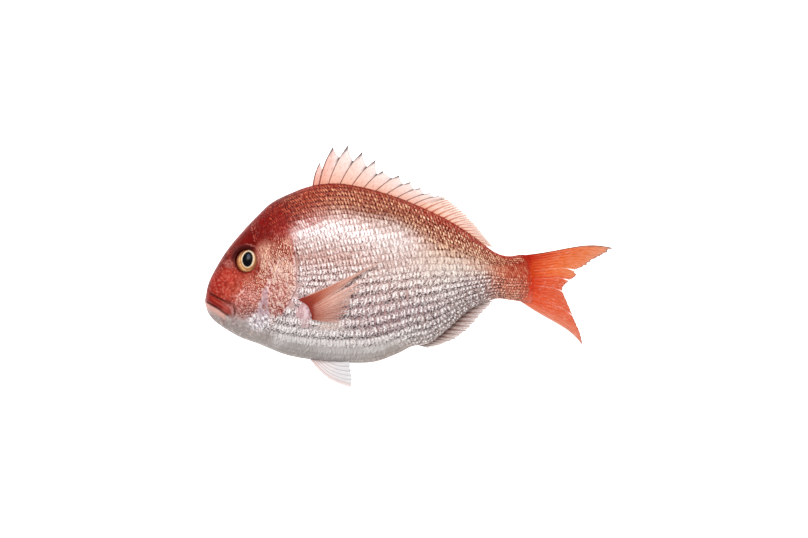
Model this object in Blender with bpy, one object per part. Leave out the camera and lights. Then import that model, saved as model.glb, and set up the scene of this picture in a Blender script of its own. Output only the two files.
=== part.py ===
"""A whole raw sea bream laid on its right side: body, eyes and fins, in metres with +Z up.

The head points along -X and the back along +Y, so the left flank faces up. The fish rests at
z = 0 on a flat pressed into its right flank, and the origin is under the middle of its bounds.
Shapes are given in percent of the total length: `along` runs from the snout towards the tail,
`height` from the middle of the tail stalk towards the back, and `depth` off the fish's middle
plane towards its left side.
"""

import math

import bmesh
import bpy
import numpy as np
from mathutils import Vector

# Driving dimensions, in metres.
LENGTH = 0.350  # snout to the tip of the tail fin
GAP = 0.0004  # clearance round a fin's root and an eyeball
FLATTENED = 0.0024  # how far the right flank is pressed flat where it rests

PERCENT = LENGTH / 100
ORIGIN_ALONG = 50.0
ORIGIN_HEIGHT = 3.0

# Body outline: along, height of the back, height of the belly, half thickness.
STATIONS = (
    (0.0, -4.9, -6.5, 0.8),
    (0.7, -1.5, -8.5, 2.1),
    (2.2, 1.8, -10.4, 3.2),
    (5.2, 6.7, -12.6, 4.3),
    (8.9, 11.2, -14.6, 5.2),
    (12.6, 15.1, -15.9, 6.0),
    (16.0, 18.2, -17.3, 6.7),
    (20.0, 20.3, -18.8, 7.3),
    (26.0, 22.5, -19.9, 7.8),
    (33.0, 23.0, -20.6, 7.9),
    (40.8, 21.5, -20.5, 7.5),
    (46.7, 19.7, -18.5, 6.8),
    (50.3, 18.3, -16.7, 6.2),
    (54.6, 16.4, -15.9, 5.5),
    (59.2, 14.1, -12.4, 4.6),
    (64.5, 10.8, -7.8, 3.5),
    (70.5, 6.4, -5.2, 2.4),
    (74.0, 5.5, -5.4, 1.8),
    (77.6, 6.1, -6.9, 1.1),
    (79.2, 5.2, -6.4, 0.6),
)
SNOUT_HEIGHT = -5.7
TAIL_SAG = 6.4  # how far the tail fin's tips hang below the middle of the body
SAG_STARTS = 38.0

# Plates of the head. The rings of the body are bent so that one of them is the gill cover's
# rear edge, which runs forward towards the nape and further forward under the throat.
GILL_RING = 22.6
PREOPERCLE_RING = 15.9
BENT_FORWARD_AT_NAPE = 4.6
BENT_FORWARD_AT_THROAT = 10.0
RINGS_STRAIGHT_FROM = 54.0
GILL_STEP = 0.42
PREOPERCLE_STEP = 0.20

# Other features of each flank, as (along, height).
EYE_CENTRE = (10.3, 4.2)
EYE_RADII = (2.7, 2.8, 1.6)  # along, height, thickness
EYE_SUNK = 0.8  # from the flank's surface down to the eyeball's centre
BROW_SWELL = 0.22
LIP_LINE = ((0.6, -5.2), (3.0, -6.9), (5.4, -8.3))
LIP_SWELL = 0.35
MOUTH_LINE = ((0.2, -6.9), (2.9, -8.6), (5.2, -10.3))
CHEEK_CREASE = ((1.5, -3.6), (4.4, -4.7), (7.0, -6.2), (7.5, -9.6))
CREASE_DEPTH = 0.38
FIN_LOBE_CENTRE = (25.2, -7.2)
FIN_LOBE_RADII = (2.3, 4.6)
FIN_LOBE_SWELL = 0.8

RING_POINTS = 36
HEAD_RINGS = 17
PLATE_RINGS = 5
TRUNK_RINGS = 15
CURVE_STEPS = 12  # samples to a span wherever a smooth curve is read from its points

# The web between two rays: how far across it a fold line runs, and how far out it reaches.
SPINY_WEB = ((0.40, 0.78), (0.90, 0.60))
SOFT_WEB = ((0.50, 0.97),)

RAY_THICKNESS = 0.44
WEB_SHARE = 0.42  # of a ray's thickness
TIP_SHARE = 0.45  # of what a ray or web measures at the skin
SUNK_SHARE = 0.7  # the same at the edge that is sunk in the body
ROOT_DEPTH = 1.6  # how deep that edge lies
OFF_FLANK = 0.62  # a folded fin's middle over the skin
OFF_TABLE = 0.27  # the same over the table, where the fish lies on its fin


def smooth_curve(points, steps=CURVE_STEPS):
    """Points along the Catmull-Rom curve through `points`, as an array."""
    given = np.array(points, float)
    padded = np.vstack([2 * given[0] - given[1], given, 2 * given[-1] - given[-2]])
    curve = []
    for before, start, end, after in zip(padded, padded[1:], padded[2:], padded[3:]):
        for t in np.linspace(0, 1, steps, endpoint=False):
            bend = 2 * before - 5 * start + 4 * end - after
            twist = 3 * start - before - 3 * end + after
            curve.append(0.5 * (2 * start + (end - before) * t + bend * t**2 + twist * t**3))
    return np.array([*curve, given[-1]])


OUTLINE = smooth_curve(STATIONS)
BODY_END = STATIONS[-1][0]


def ease(value):
    """0 to 1 with level ends, for a value that runs from 0 to 1."""
    t = min(1.0, max(0.0, value))
    return t * t * (3 - 2 * t)


def back_height(along):
    return float(np.interp(along, OUTLINE[:, 0], OUTLINE[:, 1]))


def belly_height(along):
    return float(np.interp(along, OUTLINE[:, 0], OUTLINE[:, 2]))


def half_thickness(along):
    return float(np.interp(along, OUTLINE[:, 0], OUTLINE[:, 3]))


def widest_height(along):
    """Height at which the body is thickest: the snout's level, then just under the middle."""
    trunk = -2.2 + 2.4 * ease((along - 30) / 30)
    level = SNOUT_HEIGHT + (trunk - SNOUT_HEIGHT) * ease(along / 18)
    stalk = (back_height(along) + belly_height(along)) / 2
    return level + (stalk - level) * ease((along - 62) / 12)


def section_powers(along):
    """Superellipse powers above and below the widest height: a wedge back, a full belly."""
    trunk = ease((along - 10) / 20) * (1 - ease((along - 60) / 14))
    return 2.15 - 0.40 * trunk, 2.15 + 0.10 * trunk


def middle_depth(along):
    """Level of the fish's middle plane over the table, which sags towards the tail."""
    sag = max(0.0, (along - SAG_STARTS) / (100 - SAG_STARTS))
    return max(OUTLINE[:, 3]) - FLATTENED / PERCENT - TAIL_SAG * sag**1.6


def bent_along(ring, rise):
    """Where a body ring stands at `rise`, which runs from -1 on the belly to 1 on the back."""
    if rise > 0:
        forward = BENT_FORWARD_AT_NAPE * rise**2
    else:
        forward = BENT_FORWARD_AT_THROAT * (-rise) ** 1.1
    if ring < GILL_RING:
        return ring - forward * ring / GILL_RING
    straight = (ring - GILL_RING) / (RINGS_STRAIGHT_FROM - GILL_RING)
    return ring - forward * (1 - ease(straight))


def ring_at(along, rise):
    """The ring that passes through a point of the flank."""
    rings = np.linspace(0, BODY_END, 160)
    return float(np.interp(along, [bent_along(ring, rise) for ring in rings], rings))


def rise_at(along, height):
    middle = widest_height(along)
    end = back_height(along) if height > middle else 2 * middle - belly_height(along)
    return max(-1.0, min(1.0, (height - middle) / (end - middle)))


def distance_to_line(along, height, line):
    """Shortest distance from a point of the side view to a curve in it."""
    curve = smooth_curve(line, 6)
    return float(np.min(np.hypot(curve[:, 0] - along, curve[:, 1] - height)))


def within_oval(along, height, centre, radii):
    """1 on an oval's rim, less inside it and more outside."""
    return math.hypot((along - centre[0]) / radii[0], (height - centre[1]) / radii[1])


def relief(ring, along, height):
    """What the head's plates, lips and creases add to the body's half thickness."""
    raised = GILL_STEP * ease(ring / GILL_RING) * ease((GILL_RING + 0.5 - ring) / 0.5)
    raised += PREOPERCLE_STEP * ease((PREOPERCLE_RING + 1.2 - ring) / 1.2)
    lobe = within_oval(along, height, FIN_LOBE_CENTRE, FIN_LOBE_RADII)
    raised += FIN_LOBE_SWELL * ease(1.35 - lobe)
    brow = within_oval(along, height, EYE_CENTRE, EYE_RADII[:2])
    raised += BROW_SWELL * ease(1 - abs(brow - 1.25) / 0.45)
    raised += LIP_SWELL * ease(1 - distance_to_line(along, height, LIP_LINE) / 1.9)
    for line in (MOUTH_LINE, CHEEK_CREASE):
        raised -= CREASE_DEPTH * ease(1 - distance_to_line(along, height, line) / 0.8)
    return raised


def section_depth(along, rise, ring):
    """Half thickness at `rise` of the section that stands at `along`."""
    power = section_powers(along)[0 if rise > 0 else 1]
    share = max(0.0, 1 - abs(rise) ** power) ** (1 / power)
    middle = widest_height(along)
    reach = back_height(along) - middle if rise > 0 else middle - belly_height(along)
    return share * (half_thickness(along) + relief(ring, along, middle + rise * reach))


def flank(along, height):
    """Half thickness of the body at a point of its side view."""
    rise = rise_at(along, height)
    return section_depth(along, rise, ring_at(along, rise))


def at(along, height, depth=0.0):
    """The place in metres of a point given in percent, `depth` off the middle plane."""
    return Vector(
        (
            (along - ORIGIN_ALONG) * PERCENT,
            (height - ORIGIN_HEIGHT) * PERCENT,
            (middle_depth(along) + depth) * PERCENT,
        )
    )


def clear_scene():
    for obj in list(bpy.data.objects):
        bpy.data.objects.remove(obj)


def material(name, colour, roughness):
    made = bpy.data.materials.new(name)
    made.use_nodes = True
    shader = made.node_tree.nodes["Principled BSDF"]
    shader.inputs["Base Color"].default_value = (*colour, 1.0)
    shader.inputs["Roughness"].default_value = roughness
    shader.inputs["Metallic"].default_value = 0.0
    return made


def add_object(name, mesh, finish):
    obj = bpy.data.objects.new(name, mesh)
    bpy.context.scene.collection.objects.link(obj)
    mesh.materials.append(finish)
    return obj


def make_helper(obj):
    """A cutter: the build leaves it out."""
    obj.hide_render = True
    obj.display_type = "WIRE"
    return obj


def body_rings():
    """Rings close on the head, in pairs at its plates' edges, and wider on the trunk."""
    head = PREOPERCLE_RING * np.linspace(0, 1, HEAD_RINGS) ** 1.3
    plate = np.linspace(PREOPERCLE_RING + 1.2, GILL_RING, PLATE_RINGS)
    trunk = np.linspace(GILL_RING + 2.6, BODY_END, TRUNK_RINGS)
    return [*head, *plate, GILL_RING + 0.5, *trunk]


def ring_point(ring, turn):
    """A point of the body's skin, `turn` radians round from the back over the left flank."""
    rise = math.cos(turn)
    side = 0.0 if abs(rise) > 0.99999 else math.copysign(1, math.sin(turn))
    power = 2 / (section_powers(ring)[0 if rise > 0 else 1])
    rise = math.copysign(abs(rise) ** power, rise)
    along = bent_along(ring, rise)
    middle = widest_height(along)
    reach = back_height(along) - middle if rise > 0 else middle - belly_height(along)
    return at(along, middle + rise * reach, side * section_depth(along, rise, ring))


def body_shell():
    """The body as rings bridged from the snout to the tail stalk, closed at both ends."""
    shell = bmesh.new()
    rings = []
    for ring in body_rings():
        turns = [2 * math.pi * i / RING_POINTS for i in range(RING_POINTS)]
        points = [shell.verts.new(ring_point(ring, turn)) for turn in turns]
        if rings:
            for i in range(RING_POINTS):
                j = (i + 1) % RING_POINTS
                shell.faces.new((rings[-1][j], rings[-1][i], points[i], points[j]))
        rings.append(points)
    for end in (rings[0], rings[-1]):
        cap = shell.faces.new(end)
        bmesh.ops.poke(shell, faces=[cap])
    bmesh.ops.recalc_face_normals(shell, faces=shell.faces)
    return shell


def press_flat(shell):
    """Cuts off what lies below the table and closes the flat that the fish rests on."""
    whole = [*shell.verts, *shell.edges, *shell.faces]
    cut = bmesh.ops.bisect_plane(
        shell, geom=whole, plane_co=(0, 0, 0), plane_no=(0, 0, -1), clear_outer=True
    )
    rim = [edge for edge in cut["geom_cut"] if isinstance(edge, bmesh.types.BMEdge)]
    bmesh.ops.contextual_create(shell, geom=rim)
    bmesh.ops.recalc_face_normals(shell, faces=shell.faces)


def build_body(finish):
    shell = body_shell()
    press_flat(shell)
    mesh = bpy.data.meshes.new("body")
    shell.to_mesh(mesh)
    shell.free()
    mesh.shade_smooth()
    return add_object("body", mesh, finish)


def cut_from(body, cutter):
    cut = body.modifiers.new(cutter.name, "BOOLEAN")
    cut.object = make_helper(cutter)
    cut.operation = "DIFFERENCE"
    cut.solver = "EXACT"


def eyeball(name, side, finish, grow=0.0):
    """An eyeball set level with the skin of the left (1) or right (-1) cheek, `grow` larger."""
    mesh = bpy.data.meshes.new(name)
    ball = bmesh.new()
    bmesh.ops.create_uvsphere(ball, u_segments=16, v_segments=10, radius=1.0)
    along, height = EYE_CENTRE
    skin = flank(along, height)
    lean_back = flank(along + 2, height) - flank(along - 2, height)
    lean_up = flank(along, height + 2) - flank(along, height - 2)
    for vert in ball.verts:
        right, up, out = (c * (r + grow / PERCENT) for c, r in zip(vert.co, EYE_RADII))
        lean = (lean_back * right + lean_up * up) / 4
        vert.co = at(along + right, height + up, side * (skin - EYE_SUNK + lean) + out)
    ball.to_mesh(mesh)
    ball.free()
    mesh.shade_smooth()
    return add_object(name, mesh, finish)


def build_eye(name, side, body, finish):
    cut_from(body, eyeball(name + "_socket", side, finish, grow=GAP))
    return eyeball(name, side, finish)


def spread(points, count):
    """`count` points at even steps along the smooth curve through `points`."""
    curve = smooth_curve(points)
    places = np.linspace(0, len(curve) - 1, count)
    columns = [np.interp(places, range(len(curve)), column) for column in curve.T]
    return [Vector(point) for point in zip(*columns)]


def fan(roots, tips, count, bow=0.0):
    """`count` rays from roots to tips, as functions of 0 at the skin to 1 at the tip."""
    rays = []
    for i, (root, tip) in enumerate(zip(spread(roots, count), spread(tips, count))):
        across = Vector((root.y - tip.y, tip.x - root.x))
        aside = across * bow * (1 - 2 * i / (count - 1))

        def ray(share, root=root, tip=tip, aside=aside):
            return root.lerp(tip, share) + aside * 4 * share * (1 - share)

        rays.append(ray)
    return rays


def spokes(rays, webs):
    """The lines that run out over a fin: rays and, between them, the folds of their web."""
    lines = []
    for i, (here, there) in enumerate(zip(rays, rays[1:])):
        lines.append((here, 1.0))
        for across, reach in webs[i]:

            def fold(share, here=here, there=there, across=across, reach=reach):
                return here(share * reach).lerp(there(share * reach), across)

            lines.append((fold, WEB_SHARE))
    lines.append((rays[-1], 1.0))
    return lines


def fin_sheet(lines, rows, sunk, level, grow):
    """Corners of a fin's middle surface, from its sunk edge out, and the thickness of each.

    `sunk` is the way into the body, `level` gives the depth of a point and its share out, and
    `grow` widens the sheet all round, for a cutter.
    """
    edge = Vector(sunk).normalized() * (ROOT_DEPTH + grow)
    sheet = []
    for number, (line, thick) in enumerate(lines):
        at_side = number in (0, len(lines) - 1)
        beside = lines[1 if number == 0 else number - 1][0]
        column = []
        for row in range(-1, rows + 1):
            share = max(0.0, row / rows)
            point = line(share)
            depth = level(point.x, point.y, share)
            if row < 0:
                point = point + edge.xy
                depth += edge.z
            if at_side:
                point = point + (line(share) - beside(share)).normalized() * grow
            if row == rows:
                point = point + (line(1) - line(1 - 1 / rows)).normalized() * grow
            taper = 1 - (1 - TIP_SHARE) * share
            weight = SUNK_SHARE if row < 0 else 1.0 if row == 0 else thick * taper
            column.append((at(point.x, point.y, depth), weight))
        sheet.append(column)
    return sheet


def fin_object(name, sheet, thickness, finish, even=False):
    """A fin from its sheet, thickened by its corners' weights or, with `even`, all the same."""
    columns, rows = len(sheet), len(sheet[0])
    bm = bmesh.new()
    bmesh.ops.create_grid(bm, x_segments=columns - 1, y_segments=rows - 1, size=1.0)
    weights = []
    for vert in bm.verts:
        column = round((vert.co.x + 1) / 2 * (columns - 1))
        row = round((vert.co.y + 1) / 2 * (rows - 1))
        vert.co, weight = sheet[column][row]
        weights.append(weight)
    mesh = bpy.data.meshes.new(name)
    bm.to_mesh(mesh)
    bm.free()
    obj = add_object(name, mesh, finish)
    solid = obj.modifiers.new("thickness", "SOLIDIFY")
    solid.offset = 0.0
    solid.thickness = thickness
    if not even:
        group = obj.vertex_groups.new(name="taper")
        for index, weight in enumerate(weights):
            group.add([index], weight, "REPLACE")
        solid.vertex_group = group.name
    return obj


def build_fin(name, body, finish, rays, webs, rows, sunk, level):
    """A fin whose root stands in a slot of the body, with a gap all round."""
    lines = spokes(rays, webs)
    thickness = RAY_THICKNESS * PERCENT
    slot = fin_sheet(lines, rows, sunk, level, GAP / PERCENT)
    cut_from(body, fin_object(name + "_slot", slot, thickness + 2 * GAP, finish, even=True))
    sheet = fin_sheet(lines, rows, sunk, level, 0.0)
    return fin_object(name, sheet, thickness, finish)


def build_dorsal_fin(body, finish):
    spines = fan(
        [(a, back_height(a) - 0.3) for a in (26.2, 35.5, 44.2, 52.3)],
        [(28.0, 28.3), (35.0, 32.6), (41.8, 28.9), (47.5, 25.0), (52.7, 21.8), (56.8, 19.8)],
        11,
    )
    soft = fan(
        [(a, back_height(a) - 0.3) for a in (53.8, 58.5, 63.0, 67.3)],
        [(58.2, 19.0), (61.8, 16.1), (65.5, 11.7), (68.3, 8.4), (70.2, 6.9)],
        10,
    )
    webs = [SPINY_WEB] * 10 + [SOFT_WEB] * 10
    build_fin("dorsal_fin", body, finish, spines + soft, webs, 3, (0, -1, 0), lambda a, h, s: 0)


def build_anal_fin(body, finish):
    rays = fan(
        [(a, belly_height(a) + 0.4) for a in (50.8, 56.0, 61.0, 66.0)],
        [(53.6, -17.3), (58.7, -15.9), (63.1, -13.6), (66.1, -10.0), (69.2, -6.6)],
        10,
    )
    webs = [SOFT_WEB] * 9
    build_fin("anal_fin", body, finish, rays, webs, 3, (0, 1, 0), lambda a, h, s: 0)


def build_caudal_fin(body, finish):
    rays = fan(
        [(77.0, 5.5), (78.4, -0.4), (77.3, -6.4)],
        [
            (100.0, 7.6),
            (93.8, 3.4),
            (90.0, 0.7),
            (87.3, -3.0),
            (89.3, -6.7),
            (91.2, -11.5),
            (92.5, -16.7),
        ],
        15,
        bow=0.03,
    )
    webs = [SOFT_WEB] * 14
    build_fin("caudal_fin", body, finish, rays, webs, 6, (-1, 0, 0), lambda a, h, s: 0)


def build_pelvic_fin(name, side, body, finish):
    """One of the pair under the belly, hanging a little outwards from its root."""
    rays = fan(
        [(25.4, -19.0), (27.4, -19.4), (29.4, -19.6)],
        [(35.8, -26.7), (36.3, -25.2), (35.8, -23.2), (34.9, -22.0)],
        6,
        bow=-0.07,
    )

    def level(along, height, share):
        return side * (1.3 + 1.2 * share)

    build_fin(name, body, finish, rays, [SOFT_WEB] * 5, 5, (0, 1, 0), level)


def build_pectoral_fin(name, side, body, finish, tips):
    """A fin folded back over its flank, or where the fish lies on it, over the table."""
    rays = fan([(26.3, -4.2), (27.1, -7.0), (27.0, -10.2)], tips, 10, bow=0.02)

    def level(along, height, share):
        depth = flank(along, height) + OFF_FLANK
        if side > 0:
            return depth + 0.5 * share
        return -min(depth, middle_depth(along) - OFF_TABLE)

    sunk = (-0.8, 0, -side)
    build_fin(name, body, finish, rays, [SOFT_WEB] * 9, 6, sunk, level)


def build_fish():
    skin = material("skin", (0.62, 0.27, 0.22), 0.32)
    eye = material("eye", (0.02, 0.02, 0.03), 0.08)
    web = material("fin", (0.78, 0.42, 0.32), 0.45)
    tail = material("tail_fin", (0.75, 0.16, 0.06), 0.42)
    pale = material("pale_fin", (0.80, 0.70, 0.66), 0.45)
    body = build_body(skin)
    build_eye("eye_left", 1, body, eye)
    build_eye("eye_right", -1, body, eye)
    build_dorsal_fin(body, web)
    build_anal_fin(body, pale)
    build_caudal_fin(body, tail)
    build_pelvic_fin("pelvic_fin_left", 1, body, pale)
    build_pelvic_fin("pelvic_fin_right", -1, body, pale)
    spread_tips = [(45.9, 5.8), (41.5, 3.1), (37.4, 0.4), (34.4, -4.6), (32.4, -10.7)]
    folded_tips = [(44.6, -11.6), (41.0, -13.6), (36.5, -14.9), (33.6, -15.2), (31.4, -15.1)]
    build_pectoral_fin("pectoral_fin_left", 1, body, web, spread_tips)
    build_pectoral_fin("pectoral_fin_right", -1, body, web, folded_tips)


clear_scene()
build_fish()
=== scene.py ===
"""Dresses a whole raw sea bream that lies on a pale table with its left side up.

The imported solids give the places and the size. Over them go a finely shaped skin for the head
and the trunk, a coat of overlapping scales on each flank, lips, eyes, and fins of spines and rays
in a thin web. Shapes are given as in the solids, in percent of the fish's length: `along` from
the snout to the tail, `height` from the middle of the tail stalk towards the back. `rise` runs
from -1 on the belly to 1 on the back, and `side` is 1 for the left flank and -1 for the right.
"""

import logging
import math
from collections.abc import Callable, Sequence
from dataclasses import dataclass, field
from enum import Enum
from typing import Any

import bpy
import numpy as np
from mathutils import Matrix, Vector


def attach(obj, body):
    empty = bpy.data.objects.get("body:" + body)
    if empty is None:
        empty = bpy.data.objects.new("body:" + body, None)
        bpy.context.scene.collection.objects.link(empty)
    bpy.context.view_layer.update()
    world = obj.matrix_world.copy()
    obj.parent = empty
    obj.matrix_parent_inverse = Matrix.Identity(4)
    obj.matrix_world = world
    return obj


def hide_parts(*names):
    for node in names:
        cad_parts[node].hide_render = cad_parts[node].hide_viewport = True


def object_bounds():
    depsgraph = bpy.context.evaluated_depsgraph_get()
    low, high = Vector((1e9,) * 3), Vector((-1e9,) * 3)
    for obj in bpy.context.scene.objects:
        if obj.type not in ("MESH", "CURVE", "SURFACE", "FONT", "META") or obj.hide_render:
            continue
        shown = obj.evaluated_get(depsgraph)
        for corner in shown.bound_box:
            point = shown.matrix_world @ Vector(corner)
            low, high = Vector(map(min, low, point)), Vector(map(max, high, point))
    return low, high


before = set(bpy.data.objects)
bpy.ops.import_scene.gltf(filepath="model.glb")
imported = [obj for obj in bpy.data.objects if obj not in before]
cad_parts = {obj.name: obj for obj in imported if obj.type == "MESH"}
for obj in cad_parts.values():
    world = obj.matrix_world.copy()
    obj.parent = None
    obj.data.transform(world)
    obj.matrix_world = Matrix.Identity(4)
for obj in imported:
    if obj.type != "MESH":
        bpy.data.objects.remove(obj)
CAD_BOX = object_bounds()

log = logging.getLogger("sea_bream")

Piece = bpy.types.Object
Material = bpy.types.Material
Array = np.ndarray
Template = tuple[Array, Array, Array]
Point = tuple[float, float]
Line = tuple[Point, ...]
Stops = tuple[tuple[float, str], ...]
Place = Callable[[Array, Array], Array]
Level = Callable[[Array, Array, Array], Array]

BOX_SPAN = 100.015  # percent of the length that the solids' box takes up
PERCENT = (CAD_BOX[1].x - CAD_BOX[0].x) / BOX_SPAN  # metres in a hundredth of the length
ORIGIN = (50.0, 3.0)  # along and height over the frame's origin
TABLE_GAP = 0.00005  # metres that the lowest scales keep off the table
SCALE_MIDDLE = 0.76  # share of a scale's length that stands on its own spot
WET = 1.35  # the contrast that a wet film gives the flesh


class Flank(Enum):
    """The two flanks of the fish."""

    LEFT = 1
    RIGHT = -1


# ---- shaping helpers


def ease(value: Array | float) -> Array:
    """0 to 1 with level ends, for values that run from 0 to 1."""
    t = np.clip(value, 0.0, 1.0)
    return t * t * (3 - 2 * t)


def rising(value: Array, start: float, full: float) -> Array:
    """0 at `start`, 1 at `full` and smooth between them."""
    return ease((value - start) / (full - start))


def smooth_curve(points: Sequence[Sequence[float]], steps: int = 12) -> Array:
    """Points along the Catmull-Rom curve through the given ones.

    Args:
        points: the points that the curve runs through.
        steps: samples to each span.

    Returns:
        The samples, one a row.
    """
    given = np.array(points, float)
    padded = np.vstack([2 * given[0] - given[1], given, 2 * given[-1] - given[-2]])
    rows = []
    for a, b, c, d in zip(padded, padded[1:], padded[2:], padded[3:]):
        for t in np.linspace(0, 1, steps, endpoint=False):
            bend, twist = 2 * a - 5 * b + 4 * c - d, 3 * b - a - 3 * c + d
            rows.append(0.5 * (2 * b + (c - a) * t + bend * t**2 + twist * t**3))
    return np.array([*rows, given[-1]])


def to_line(along: Array, height: Array, line: Sequence[Point]) -> Array:
    """Distance of each point of the side view from a smooth curve in it.

    Args:
        along: percent of the length.
        height: in the side view.
        line: the points that the curve runs through.

    Returns:
        The distances, in percent.
    """
    curve = smooth_curve(line, 10)
    nearest = np.full(np.shape(along), 1e9)
    for (x0, y0), (x1, y1) in zip(curve, curve[1:]):
        dx, dy = x1 - x0, y1 - y0
        t = np.clip(((along - x0) * dx + (height - y0) * dy) / (dx * dx + dy * dy), 0, 1)
        gap = np.hypot(along - x0 - t * dx, height - y0 - t * dy)
        nearest = np.minimum(nearest, gap)
    return nearest


def in_oval(along: Array, height: Array, centre: Point, radii: Point) -> Array:
    """1 on an oval's rim, less inside it and more outside."""
    return np.hypot((along - centre[0]) / radii[0], (height - centre[1]) / radii[1])


def deselect() -> None:
    """Leaves nothing selected, so that an operator takes only what it is given."""
    bpy.ops.object.select_all(action="DESELECT")


def only(piece: Piece) -> None:
    """Makes a piece the one selected and active object."""
    deselect()
    piece.select_set(True)
    bpy.context.view_layer.objects.active = piece


def corners_of(piece: Piece) -> Array:
    """The corners of a piece, one a row."""
    flat = np.empty(len(piece.data.vertices) * 3)
    piece.data.vertices.foreach_get("co", flat)
    return flat.reshape(-1, 3)


def move_corners(piece: Piece, corners: Array) -> None:
    """Puts the corners of a piece at new places."""
    piece.data.vertices.foreach_set("co", np.ascontiguousarray(corners, float).ravel())
    piece.data.update()


def laid_sheet(name: str, columns: int, rows: int, place: Place) -> Piece:
    """A grid of faces laid over a shape.

    Args:
        name: the piece's name.
        columns: faces along the first share.
        rows: faces along the second share.
        place: takes two shares from 0 to 1 for each corner and gives the corners' places.

    Returns:
        The piece, with its shares kept in the attribute "share".
    """
    deselect()
    bpy.ops.mesh.primitive_grid_add(x_subdivisions=columns, y_subdivisions=rows, size=2)
    piece = bpy.context.active_object
    piece.name = piece.data.name = name
    flat = corners_of(piece)
    across, out = (flat[:, 0] + 1) / 2, (flat[:, 1] + 1) / 2
    move_corners(piece, place(across, out))
    note(piece, "share", np.column_stack([across, out, np.zeros_like(out)]))
    return piece


def note(piece: Piece, name: str, values: Array) -> None:
    """Keeps three numbers for each corner of a piece, for its finish to read."""
    kept = piece.data.attributes.get(name)
    if kept is None:
        kept = piece.data.attributes.new(name, "FLOAT_VECTOR", "POINT")
    kept.data.foreach_set("vector", np.ascontiguousarray(values, float).ravel())


def noted(piece: Piece, name: str) -> Array:
    """The three numbers kept for each corner of a piece."""
    flat = np.empty(len(piece.data.vertices) * 3)
    piece.data.attributes[name].data.foreach_get("vector", flat)
    return flat.reshape(-1, 3)


def close_up(piece: Piece) -> None:
    """Joins corners that meet, turns all faces out and shades the piece smooth.

    Args:
        piece: the piece to close.
    """
    only(piece)
    bpy.ops.object.mode_set(mode="EDIT")
    bpy.ops.mesh.select_all(action="SELECT")
    bpy.ops.mesh.remove_doubles(threshold=2e-6)
    bpy.ops.mesh.normals_make_consistent(inside=False)
    bpy.ops.object.mode_set(mode="OBJECT")
    bpy.ops.object.shade_smooth()


# ---- the body's form


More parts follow.
